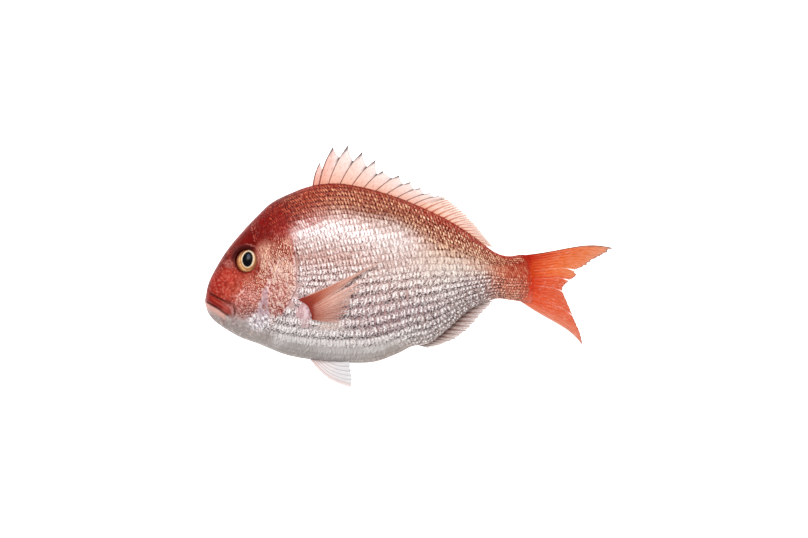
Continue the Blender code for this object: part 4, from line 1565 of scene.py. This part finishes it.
@dataclass
class HeadScales:
    """The small scales of a cheek, its gill cover and the nape, bedded in the skin."""

    flank: Flank
    column: float = 0.53  # percent from scale to scale along a row
    row: float = 0.62  # percent from row to row
    length: float = 1.9
    half: float = 0.62
    sunk: float = 0.03
    lift: float = 0.09

    def covered(self, along: Array, height: Array, ring: Array, rise: Array) -> Array:
        """How thickly scales stand at each place, fading at every border.

        Args:
            along: percent of the length.
            height: in the side view.
            ring: the head's ring through each place.
            rise: from -1 to 1.

        Returns:
            The share of the spots that carry a scale.
        """
        eye = rising(in_oval(along, height, FORM.eye_centre, FORM.eye_radii), 1.35, 1.8)
        cover = rising(ring, 16.2, 17.0) * rising(-ring, -22.3, -21.9) * rising(along, 12.0, 13.5)
        plate = rising(ring, 8.0, 10.5) * rising(-ring, -15.6, -15.2) * rising(-height, -6.0, -4.5)
        slanted = along - 0.35 * np.maximum(height + 3.5, 0)
        plate = plate * rising(height, -10.2, -8.4) * rising(slanted, 7.6, 10.2)
        behind_eye = rising(ring, 13.0, 13.8) * rising(-ring, -16.4, -15.8) * rising(height, -0.5, 0.5)
        nape = rising(along + 0.6 * np.sin(height * 1.7), 14.0, 16.4) * rising(rise, 0.30, 0.42)
        nape = nape * rising(-ring, -19.0, -18.2)
        streak = rising(along - (height + 1.0) * 0.36, 14.8, 15.4) * rising(-along, -16.4, -16.0)
        streak = streak * rising(-height, 0.4, 1.2)
        shown = np.maximum.reduce([cover, plate, behind_eye, nape])
        return eye * shown * (1 - 0.9 * streak)

    def build(self) -> Piece:
        """Lays the scales, each bent to the plate under it.

        Returns:
            The piece.
        """
        template = ScaleCoat(self.flank).template()
        shape = template[0]
        side = float(self.flank.value)
        chance = np.random.default_rng(29 + self.flank.value)
        rows, columns = np.meshgrid(np.arange(-28, 36), np.arange(12, 48), indexing="ij")
        at = ((columns + 0.5 * (rows % 2)) * self.column).ravel()
        up = (rows * self.row).ravel().astype(float)
        at = at + chance.normal(0, 0.10, len(at)) + 0.35 * np.sin(up * 0.6)
        up = up + chance.normal(0, 0.10, len(up)) + 0.35 * np.sin(at * 0.7)
        rise = FORM.rise(at, up)
        inside = (up < FORM.back(at) - 0.25) & (up > FORM.belly(at) + 0.25)
        covered = self.covered(at, up, FORM.ring_at(at, rise), rise)
        keep = inside & (chance.random(len(at)) < covered)
        at, up = at[keep][:, None], up[keep][:, None]
        count = len(at)
        lean = chance.normal(-0.12, 0.28, (count, 1)) - 0.5 * ease((up - 6) / 8)
        size = 1 + chance.normal(0, 0.14, (count, 1))
        along_it = (shape[None, :, 0] - SCALE_MIDDLE) * self.column * self.length * size
        across_it = shape[None, :, 1] * self.row * self.half * size
        a = (at + along_it * np.cos(lean) - across_it * np.sin(lean)).ravel()
        h = (up + along_it * np.sin(lean) + across_it * np.cos(lean)).ravel()
        rise = FORM.rise(a, h)
        raised = FORM.face_relief(FORM.ring_at(a, rise), a, rise)
        skin = FORM.skin(a, rise, side, FORM.held(raised, a))
        out = FORM.normal(a, rise, np.full(len(a), side))
        height = (-self.sunk + self.lift * np.tile(shape[:, 2], count)) * PERCENT
        places = skin + out * height[:, None]
        places[:, 2] = np.maximum(places[:, 2], TABLE_GAP)
        centres = at[:, 0], FORM.rise(at[:, 0], up[:, 0])
        return scale_piece("head_scales", self.flank, template, places, centres, chance.random(count))

    def dress(self, finish: Material) -> None:
        """Builds the scales and gives them their finish."""
        dress(self.build(), finish, "skin")


@dataclass
class Eye:
    """An eyeball in its socket."""

    flank: Flank
    centre: Point = FORM.eye_centre
    radii: tuple[float, float, float] = (2.75, 2.85, 1.55)
    sunk: float = 0.75
    pupil_bulge: float = 0.10

    def build(self) -> Piece:
        """Shapes a ball and turns it to face out of the cheek.

        Returns:
            The piece.
        """
        deselect()
        bpy.ops.mesh.primitive_uv_sphere_add(segments=96, ring_count=64, radius=1.0)
        piece = bpy.context.active_object
        piece.name = piece.data.name = f"eyeball_{self.flank.name.lower()}"
        ball = corners_of(piece)
        centre = [np.array([value]) for value in self.centre]
        side = float(self.flank.value)
        rise = FORM.rise(*centre)
        skin = FORM.skin(centre[0], rise, side)[0]
        out = FORM.normal(centre[0], rise, np.array([side]))[0]
        up = np.array([0.0, 1.0, 0.0]) - out * out[1]
        up /= np.linalg.norm(up)
        ahead = np.cross(up, out) * side
        swell = 1 + self.pupil_bulge * ease((0.62 - np.hypot(ball[:, 0], ball[:, 1])) / 0.5)
        depth = ball[:, 2] * self.radii[2] * np.where(ball[:, 2] > 0, swell, 1.0) - self.sunk
        places = (
            skin
            + np.outer(ball[:, 0] * self.radii[0], ahead) * PERCENT
            + np.outer(ball[:, 1] * self.radii[1], up) * PERCENT
            + np.outer(depth, out) * PERCENT
        )
        move_corners(piece, places)
        note(piece, "eye", ball)
        close_up(piece)
        return piece

    def dress(self, finish: Material) -> None:
        """Builds the eye, gives it its finish and lets it stand for its solid."""
        dress(self.build(), finish, "eye", f"eye_{self.flank.name.lower()}")


@dataclass
class Fin:
    """A fin's web with its rays as ridges, closed all round.

    Roots and tips are smooth curves in the side view; `bow` bends the rays, and `ragged` is how
    far the edge runs in and out.
    """

    name: str
    roots: Line
    tips: Line
    rays: int
    finish: FinFinish
    slot: str
    level: Level
    bow: float = 0.0
    bow_late: float = 1.0
    thickness: float = 0.10  # percent, at the root
    ridge: float = 0.11  # percent that a ray adds
    ragged: float = 0.01
    notch: float = 0.0
    across: int = 200
    out: int = 70
    start: float = 0.0
    ripple: float = 0.0
    seed: int = 3

    def edge(self, across: Array) -> Array:
        """How far out the web reaches at a share across the fin.

        Args:
            across: the share.

        Returns:
            The share of the way to the tips.
        """
        luck = np.random.default_rng(self.seed).random(self.rays * 4 + 2)
        fray = np.interp(across * self.rays * 4, np.arange(len(luck)), luck)
        count = across * self.rays
        between = np.abs(count - np.round(count)) * 2
        return 1 - self.ragged * fray - self.notch * between**1.2

    def build(self) -> Piece:
        """Lays the upper and the lower face of the fin and joins them at the edges.

        Returns:
            The piece.
        """
        roots, tips = smooth_curve(self.roots, 24), smooth_curve(self.tips, 24)

        def on(curve: Array, share: Array) -> Array:
            """Points at shares of a curve."""
            spot = share * (len(curve) - 1)
            steps = np.arange(len(curve))
            return np.column_stack([np.interp(spot, steps, curve[:, i]) for i in (0, 1)])

        def place(turn: Array, out: Array) -> Array:
            """Places for shares of the way round the fin's section and out to its edge."""
            lower = turn > 0.5
            across = np.where(lower, 2 - 2 * turn, 2 * turn)
            reach = self.start + (self.edge(across) - self.start) * out
            root, tip = on(roots, across), on(tips, across)
            way = tip - root
            length = np.linalg.norm(way, axis=1, keepdims=True)
            sideways = np.column_stack([-way[:, 1], way[:, 0]]) / length
            bend = self.bow * np.sin(np.clip(reach, 0, 1) ** self.bow_late * math.pi)[:, None] * length
            flat = root + way * reach[:, None] + sideways * bend
            count = across * self.rays
            ridge = np.abs(np.cos(count * math.pi)) ** 5
            fork = np.abs(np.cos(2 * count * math.pi)) ** 5 * ease((reach - 0.4) / 0.3)
            thin = 1 - 0.75 * np.clip(reach, 0, 1)
            half = (self.thickness + self.ridge * np.maximum(ridge, fork * 0.8)) * thin / 2
            half = half * np.clip((1 - out) / 0.02, 0, 1) ** 0.5 + 0.004
            rim = np.minimum(across, 1 - across)
            half = half * np.clip(rim / 0.006, 0, 1) ** 0.5
            wave = self.ripple * np.sin(count * math.pi * 0.9 + 1.3 * reach) * reach
            depth = self.level(flat[:, 0], flat[:, 1], reach) + wave
            depth = depth + np.where(lower, -half, half)
            return FORM.at(flat[:, 0], flat[:, 1], depth)

        piece = laid_sheet(self.name, self.across * 2, self.out, place)
        turn, out, _ = noted(piece, "share").T
        across = np.where(turn > 0.5, 2 - 2 * turn, 2 * turn)
        reach = self.start + (1 - self.start) * out
        note(piece, "share", np.column_stack([across, reach, ease((0.05 - reach) / 0.08)]))
        close_up(piece)
        return piece

    def dress(self, node: str) -> None:
        """Builds the fin and lets it stand for its solid."""
        dress(self.build(), self.finish.make(), self.slot, node)


@dataclass
class DorsalFin:
    """Eleven spines, each with a web sloping to the next, and the soft fin behind them."""

    spine_roots: Line = (
        (26.2, 22.4), (27.7, 22.8), (30.0, 22.9), (32.8, 22.9), (35.7, 22.5), (38.5, 21.8), (41.4, 21.1),
        (43.9, 20.3), (46.4, 19.4), (48.6, 18.6), (50.6, 17.9), (52.4, 17.2),
    )
    spine_tips: Line = (
        (28.1, 28.5), (31.4, 32.4), (35.1, 32.8), (38.6, 31.1), (41.8, 29.0), (43.4, 26.2), (47.6, 25.2),
        (50.3, 23.5), (52.7, 22.0), (54.9, 20.7), (57.0, 20.0), (58.4, 19.2),
    )
    web_lows: tuple[float, ...] = (0.38, 0.64, 0.65, 0.67, 0.74, 0.72, 0.70, 0.74, 0.78, 0.82, 0.98)
    spine_root: float = 0.12  # share of a spine that stands in the back
    web_root: float = 0.10  # share of a web that does
    web_top: float = 0.97  # how far up a spine the web behind it is fixed
    bow: float = -0.05  # how far they bend, in their lengths
    wall: float = 0.00022  # metres that a web is thick
    soft_roots: Line = ((51.9, 17.4), (58.5, 14.0), (63.0, 11.4), (67.8, 8.0))
    soft_tips: Line = ((58.3, 20.0), (62.2, 16.9), (65.7, 13.3), (68.5, 9.8), (70.4, 7.3))
    thickness: float = 0.17
    web: FinFinish = FinFinish(
        "dorsal_web", web=((0.0, "EFB49C"), (0.16, "F3C6B2"), (0.5, "F3D5CA"), (1.0, "EFDEDA")),
        ray=((0.0, "A05E50"), (0.35, "8A665E"), (0.75, "786C6A"), (1.0, "5E585A")), rays=11, clear=0.12,
        clear_at_edge=0.40, forks=0.0, edge="9A8078", edge_share=0.04, streaks=0.30,
        sides=((0.20, 0.10, "EBA08C", 0.45),), ray_width=0.10, tips="75686A",
    )
    soft: FinFinish = FinFinish(
        "dorsal_soft", web=((0.0, "EBB096"), (0.16, "F5CDB8"), (0.4, "F8DED0"), (1.0, "FAEBE2")),
        ray=((0.0, "BA5640"), (0.3, "D8927A"), (0.7, "DEAC98"), (1.0, "E6C6B8")), rays=14, clear=0.08,
        clear_at_edge=0.55, streaks=0.35, ray_width=0.42,
    )

    def spine(self, number: int, root: Array, tip: Array) -> Piece:
        """One tapered spine, bent a little backwards.

        Args:
            number: its place from the front.
            root: where it leaves the back.
            tip: its point.

        Returns:
            The spine.
        """
        deselect()
        bpy.ops.mesh.primitive_cylinder_add(vertices=10, radius=1.0, depth=2.0)
        piece = bpy.context.active_object
        piece.name = piece.data.name = f"dorsal_spine_{number}"
        bpy.ops.object.mode_set(mode="EDIT")
        bpy.ops.mesh.select_all(action="SELECT")
        bpy.ops.mesh.bisect(plane_co=(0, 0, 0), plane_no=(0, 0, 1))
        for level in np.linspace(-0.875, 0.875, 15):
            bpy.ops.mesh.select_all(action="SELECT")
            bpy.ops.mesh.bisect(plane_co=(0, 0, float(level)), plane_no=(0, 0, 1))
        bpy.ops.object.mode_set(mode="OBJECT")
        tube = corners_of(piece)
        share = (tube[:, 2] + 1) / 2
        way = tip - root
        length = float(np.linalg.norm(way))
        aside = np.array([way[1], -way[0]]) / length
        reach = share * (1 + self.spine_root) - self.spine_root
        bend = self.bow * length * np.sin(np.clip(reach, 0, 1) * math.pi)
        flat = root + np.outer(reach, way) + np.outer(bend, aside)
        stout = 1.5 if number < 2 else 1.0
        radius = (self.thickness / 2 * (1 - np.clip(reach, 0, 1)) ** 0.5 + 0.04) * stout
        flat = flat + np.outer(tube[:, 0] * radius, aside)
        across = np.full_like(reach, number / len(self.web_lows))
        note(piece, "share", np.column_stack([across, reach, np.ones_like(reach)]))
        move_corners(piece, FORM.at(flat[:, 0], flat[:, 1], tube[:, 1] * radius))
        close_up(piece)
        return piece

    def web_piece(self, number: int, front: tuple[Array, Array], rear: tuple[Array, Array]) -> Piece:
        """The web behind a spine, notched down to the next one.

        Args:
            number: the spine's place from the front.
            front: the spine's root and tip.
            rear: the next one's.

        Returns:
            The web.
        """
        drop = self.web_top - self.web_lows[number]

        def place(across: Array, out: Array) -> Array:
            """Places for shares of the way to the next spine and up to the web's edge."""
            low = front[0] + np.outer(across, rear[0] - front[0])
            high = self.web_top - drop * np.clip(across / 0.9, 0, 1) ** 0.7
            ray_front = front[1] - front[0]
            ray_rear = rear[1] - rear[0]
            way = ray_front + np.outer(across, ray_rear - ray_front)
            reach = out * (high + self.web_root) - self.web_root
            aside = np.column_stack([way[:, 1], -way[:, 0]])
            bend = self.bow * np.sin(np.clip(reach, 0, 1) * math.pi)[:, None]
            flat = low + way * reach[:, None] + aside * bend
            fold = 0.16 * np.sin(across * math.pi) * np.clip(reach, 0, 1)
            return FORM.at(flat[:, 0], flat[:, 1], fold)

        piece = laid_sheet(f"dorsal_web_{number}", 14, 26, place)
        thick = piece.modifiers.new("wall", "SOLIDIFY")
        thick.thickness = self.wall
        thick.offset = 0.0
        only(piece)
        bpy.ops.object.modifier_apply(modifier=thick.name)
        across, out, solid = noted(piece, "share").T
        across = (across * 0.999 + number) / len(self.web_lows)
        note(piece, "share", np.column_stack([across, out, solid]))
        close_up(piece)
        return piece

    def dress(self) -> None:
        """Builds the spines and the webs and joins them as one piece, then builds the soft fin behind them.
        """
        lines = [(np.array(root), np.array(tip)) for root, tip in zip(self.spine_roots, self.spine_tips)]
        parts = [self.spine(i, *line) for i, line in enumerate(lines[:-1])]
        parts += [self.web_piece(i, a, b) for i, (a, b) in enumerate(zip(lines, lines[1:]))]
        deselect()
        for part in parts:
            part.select_set(True)
        bpy.context.view_layer.objects.active = parts[0]
        bpy.ops.object.join()
        piece = bpy.context.active_object
        piece.name = piece.data.name = "dorsal_spines"
        dress(piece, self.web.make(), "fin_web", "dorsal_fin")
        soft = Fin(
            "dorsal_soft", self.soft_roots, self.soft_tips, 14, self.soft, "fin_web",
            lambda along, height, out: 0.0 * along, bow=0.04, ragged=0.07, notch=0.02, across=150, out=44,
            start=-0.15,
        )
        soft.dress("dorsal_fin")


def flank_depth(along: Array, height: Array) -> Array:
    """Half thickness of the trunk at a point of its side view."""
    rise = FORM.rise(along, height)
    power = FORM.power(along, rise)
    share = np.maximum(0, 1 - np.abs(rise) ** power) ** (1 / power)
    return share * (FORM.half(along) + FORM.trunk_relief(along, rise))


@dataclass
class PairedFins:
    """The breast and the belly fins of both flanks."""

    breast_roots: Line = ((24.0, -4.7), (25.6, -5.9), (26.3, -7.4), (26.6, -8.9), (26.5, -10.0))
    breast_tips: Line = (
        (48.2, 7.1), (46.4, 6.0), (43.4, 4.3), (39.6, 2.2), (37.4, 0.4), (38.6, -2.2), (36.2, -4.6),
        (35.6, -7.0), (34.2, -9.2), (33.1, -10.8),
    )
    under_tips: Line = (
        (44.6, -11.6), (41.0, -13.6), (36.5, -14.9), (33.6, -15.2), (31.4, -15.1),
    )
    belly_roots: Line = ((25.0, -18.9), (26.8, -19.2), (29.2, -19.1))
    belly_tips: Line = ((35.9, -26.7), (35.8, -24.8), (35.5, -22.6), (35.1, -20.1))
    stand: float = 0.62  # percent between the flank and a breast fin's root
    dip: float = 0.9  # percent that the very root dips into the flank
    breast: FinFinish = FinFinish(
        "breast_fin",
        web=((0.0, "AE564A"), (0.07, "C06C58"), (0.2, "DA947E"), (0.5, "FAD4C4"), (1.0, "FFEBE2")),
        ray=((0.0, "9C443A"), (0.14, "B05A48"), (0.35, "D08A74"), (0.7, "DCA898"), (1.0, "ECC8BC")),
        rays=18, clear=0.10, clear_at_edge=1.15, forks=0.3, streaks=0.6, ray_width=0.42,
        sides=((0.05, 0.0, "F6D2C6", 0.8), (0.36, 0.44, "ECC6BA", 0.4), (0.55, 0.8, "B6705C", 0.5)),
        slits=((0.46, 0.45, 0.022), (0.60, 0.55, 0.016), (0.75, 0.6, 0.010)),
    )
    belly: FinFinish = FinFinish(
        "belly_fin", web=((0.0, "EBD8D4"), (0.3, "F4EEEE"), (1.0, "F0EFF0")),
        ray=((0.0, "DDB0A6"), (0.3, "CFB2B0"), (0.7, "B2AAB0"), (1.0, "B8B6BC")), rays=6, clear=0.30,
        clear_at_edge=0.50, forks=0.3, ray_width=0.25, streaks=0.2, depth=1.0,
        sides=((0.30, 0.05, "EBC4BA", 0.4),),
    )

    def dress(self) -> None:
        """Builds the four fins."""

        def over(along: Array, height: Array, out: Array) -> Array:
            """Depth of the left breast fin, which spreads off the flank."""
            stand = self.stand + 0.5 * np.clip(out, 0, 1) - self.dip * ease((0.06 - out) / 0.2)
            return flank_depth(along, height) + stand

        def under(along: Array, height: Array, out: Array) -> Array:
            """Depth of the right breast fin, which is pressed between flank and table."""
            stand = flank_depth(along, height) + self.stand - self.dip * ease((0.06 - out) / 0.2)
            return -np.minimum(stand, FORM.middle(along) - 0.16)

        fin = Fin(
            "breast_fin_left", self.breast_roots, self.breast_tips, 18, self.breast, "fin_web", over,
            bow=-0.015, thickness=0.10, ridge=0.24, ragged=0.07, notch=0.04, across=240, out=90,
            start=-0.04, ripple=0.10,
        )
        fin.dress("pectoral_fin_left")
        fin.name, fin.tips, fin.level, fin.seed = "breast_fin_right", self.under_tips, under, 5
        fin.ripple = 0.0
        fin.dress("pectoral_fin_right")
        for flank, seed in ((Flank.LEFT, 7), (Flank.RIGHT, 8)):
            side = float(flank.value)
            name = flank.name.lower()
            belly = Fin(
                f"belly_fin_{name}", self.belly_roots, self.belly_tips, 6, self.belly, "pale_fin",
                lambda along, height, out, side=side: side * (1.3 + 1.2 * out), bow=-0.11, thickness=0.10,
                ridge=0.16, ragged=0.03, notch=0.02, across=120, out=50, start=-0.08, seed=seed,
            )
            belly.dress(f"pelvic_fin_{name}")


@dataclass
class RearFins:
    """The forked tail fin and the soft fin under the belly's rear."""

    tail_roots: Line = ((76.2, 5.5), (78.0, 3.0), (78.6, -0.2), (78.2, -3.4), (77.0, -5.75))
    tail_tips: Line = (
        (100.2, 7.35), (98.1, 6.0), (96.2, 5.0), (94.4, 3.9), (92.8, 2.8), (90.5, 1.7), (91.0, 0.5),
        (89.2, -0.7), (87.5, -2.7), (88.0, -4.6), (89.0, -6.8), (89.9, -9.0), (91.0, -11.6),
        (92.2, -14.4), (92.4, -16.7),
    )
    under_roots: Line = ((50.4, -16.0), (56.0, -14.4), (61.0, -10.2), (66.5, -5.4))
    under_tips: Line = (
        (54.4, -17.1), (57.6, -16.3), (60.8, -15.0), (63.8, -12.9), (66.4, -10.2), (68.6, -7.7),
        (70.4, -5.7),
    )
    tail: FinFinish = FinFinish(
        "tail_fin",
        web=(
            (0.0, "C64630"), (0.12, "CC3C22"), (0.32, "E46A40"),
            (0.6, "F48E4C"), (0.85, "F29C66"), (1.0, "F2B090"),
        ),
        ray=(
            (0.0, "BC3C26"), (0.15, "C0361E"), (0.34, "D45632"),
            (0.6, "E47040"), (0.85, "E88A5A"), (1.0, "E09A78"),
        ),
        rays=19,
        clear=0.03,
        clear_at_edge=0.22,
        forks=1.0,
        edge="9C7A74",
        edge_share=0.03,
        streaks=0.38,
        sides=(
            (0.028, 0.0, "7C5E56", 0.85),
            (0.10, 0.20, "F28644", 0.30),
            (0.42, 0.52, "D84428", 0.5),
            (0.64, 0.76, "EC7A50", 0.5),
            (0.84, 0.98, "E8987E", 0.75),
            (0.97, 1.0, "DEB4A6", 0.8),
        ),
        slits=((0.352, 0.80, 0.010), (0.50, 0.80, 0.005), (0.60, 0.86, 0.004), (0.80, 0.86, 0.004)),
    )
    under: FinFinish = FinFinish(
        "under_fin", web=((0.0, "8E6E66"), (0.35, "B79E97"), (0.7, "D6C8C4"), (1.0, "E6DEDB")),
        ray=((0.0, "6C4A42"), (0.5, "9A7870"), (1.0, "CDBAB5")), rays=14, clear=0.15, clear_at_edge=0.70,
        forks=0.9,
    )

    def dress(self) -> None:
        """Builds both fins."""
        tail = Fin(
            "tail_web", self.tail_roots, self.tail_tips, 19, self.tail, "tail_fin",
            lambda along, height, out: 0.12 * np.sin(height * 0.5 + along * 0.25), bow=0.05, bow_late=2.0,
            thickness=0.12, ridge=0.18, ragged=0.03, notch=0.01, across=330, out=120, start=-0.05,
        )
        tail.dress("caudal_fin")
        under = Fin(
            "under_fin", self.under_roots, self.under_tips, 14, self.under, "pale_fin",
            lambda along, height, out: 0.25 * out, thickness=0.12, ridge=0.16, ragged=0.13, notch=0.03,
            across=200, out=50, start=-0.10, ripple=0.10,
        )
        under.dress("anal_fin")


# ---- the studio


@dataclass
class Studio:
    """A white lit table, soft light from the back's side and a camera straight above."""

    world: float = 0.62
    table: float = 1.0
    lens: float = 92.7
    height: float = 1.8
    aim: Point = (-0.0056, -0.0028)

    def build(self) -> None:
        """Makes the table, the lights and the camera."""
        scene = bpy.context.scene
        scene.view_settings.view_transform = "Standard"
        sky = bpy.data.worlds.new("sky")
        scene.world = sky
        sky.use_nodes = True
        background = sky.node_tree.nodes["Background"]
        background.inputs["Color"].default_value = (1.0, 1.0, 1.0, 1.0)
        background.inputs["Strength"].default_value = self.world
        deselect()
        bpy.ops.mesh.primitive_plane_add(size=8.0, location=(0, 0, -0.0006))
        floor = bpy.context.active_object
        floor.name = "table"
        paint = Paint("table")
        floor.data.materials.append(
            paint.finish(
                Base_Color="F4F3F2", Roughness=0.9, Emission_Color="FFFFFF", Emission_Strength=self.table,
            )
        )
        self.light("key", (-0.25, 0.75, 1.15), 0.5, 13.0)
        self.light("fill", (0.5, -0.9, 1.2), 0.9, 2.0)
        camera = bpy.data.cameras.new("camera")
        camera.lens = self.lens
        camera.sensor_width = 36.0
        camera.clip_start = 0.05
        camera.clip_end = 20.0
        holder = bpy.data.objects.new("camera", camera)
        holder.location = (self.aim[0], self.aim[1], self.height)
        scene.collection.objects.link(holder)
        scene.camera = holder

    def light(self, name: str, place: tuple[float, float, float], size: float, power: float) -> None:
        """Adds a square soft light turned to the fish.

        Args:
            name: its name.
            place: where it hangs, in metres.
            size: its side, in metres.
            power: watts.
        """
        lamp = bpy.data.lights.new(name, "AREA")
        lamp.size = size
        lamp.energy = power
        holder = bpy.data.objects.new(name, lamp)
        holder.location = place
        holder.rotation_euler = (-Vector(place)).to_track_quat("-Z", "Y").to_euler()
        bpy.context.scene.collection.objects.link(holder)


def main() -> None:
    """Builds the studio, then the fish from its skin to its fins."""
    logging.basicConfig(level=logging.INFO, format="%(message)s")
    Studio().build()
    HeadSkin().dress()
    TrunkSkin().dress()
    scales = ScaleFinish().make()
    head_scales = ScaleFinish("head_scales", head=True).make()
    eye = EyeFinish().make()
    for flank in Flank:
        ScaleCoat(flank).dress(scales)
        HeadScales(flank).dress(head_scales)
        Eye(flank).dress(eye)
    DorsalFin().dress()
    PairedFins().dress()
    RearFins().dress()


if __name__ == "__main__":
    main()
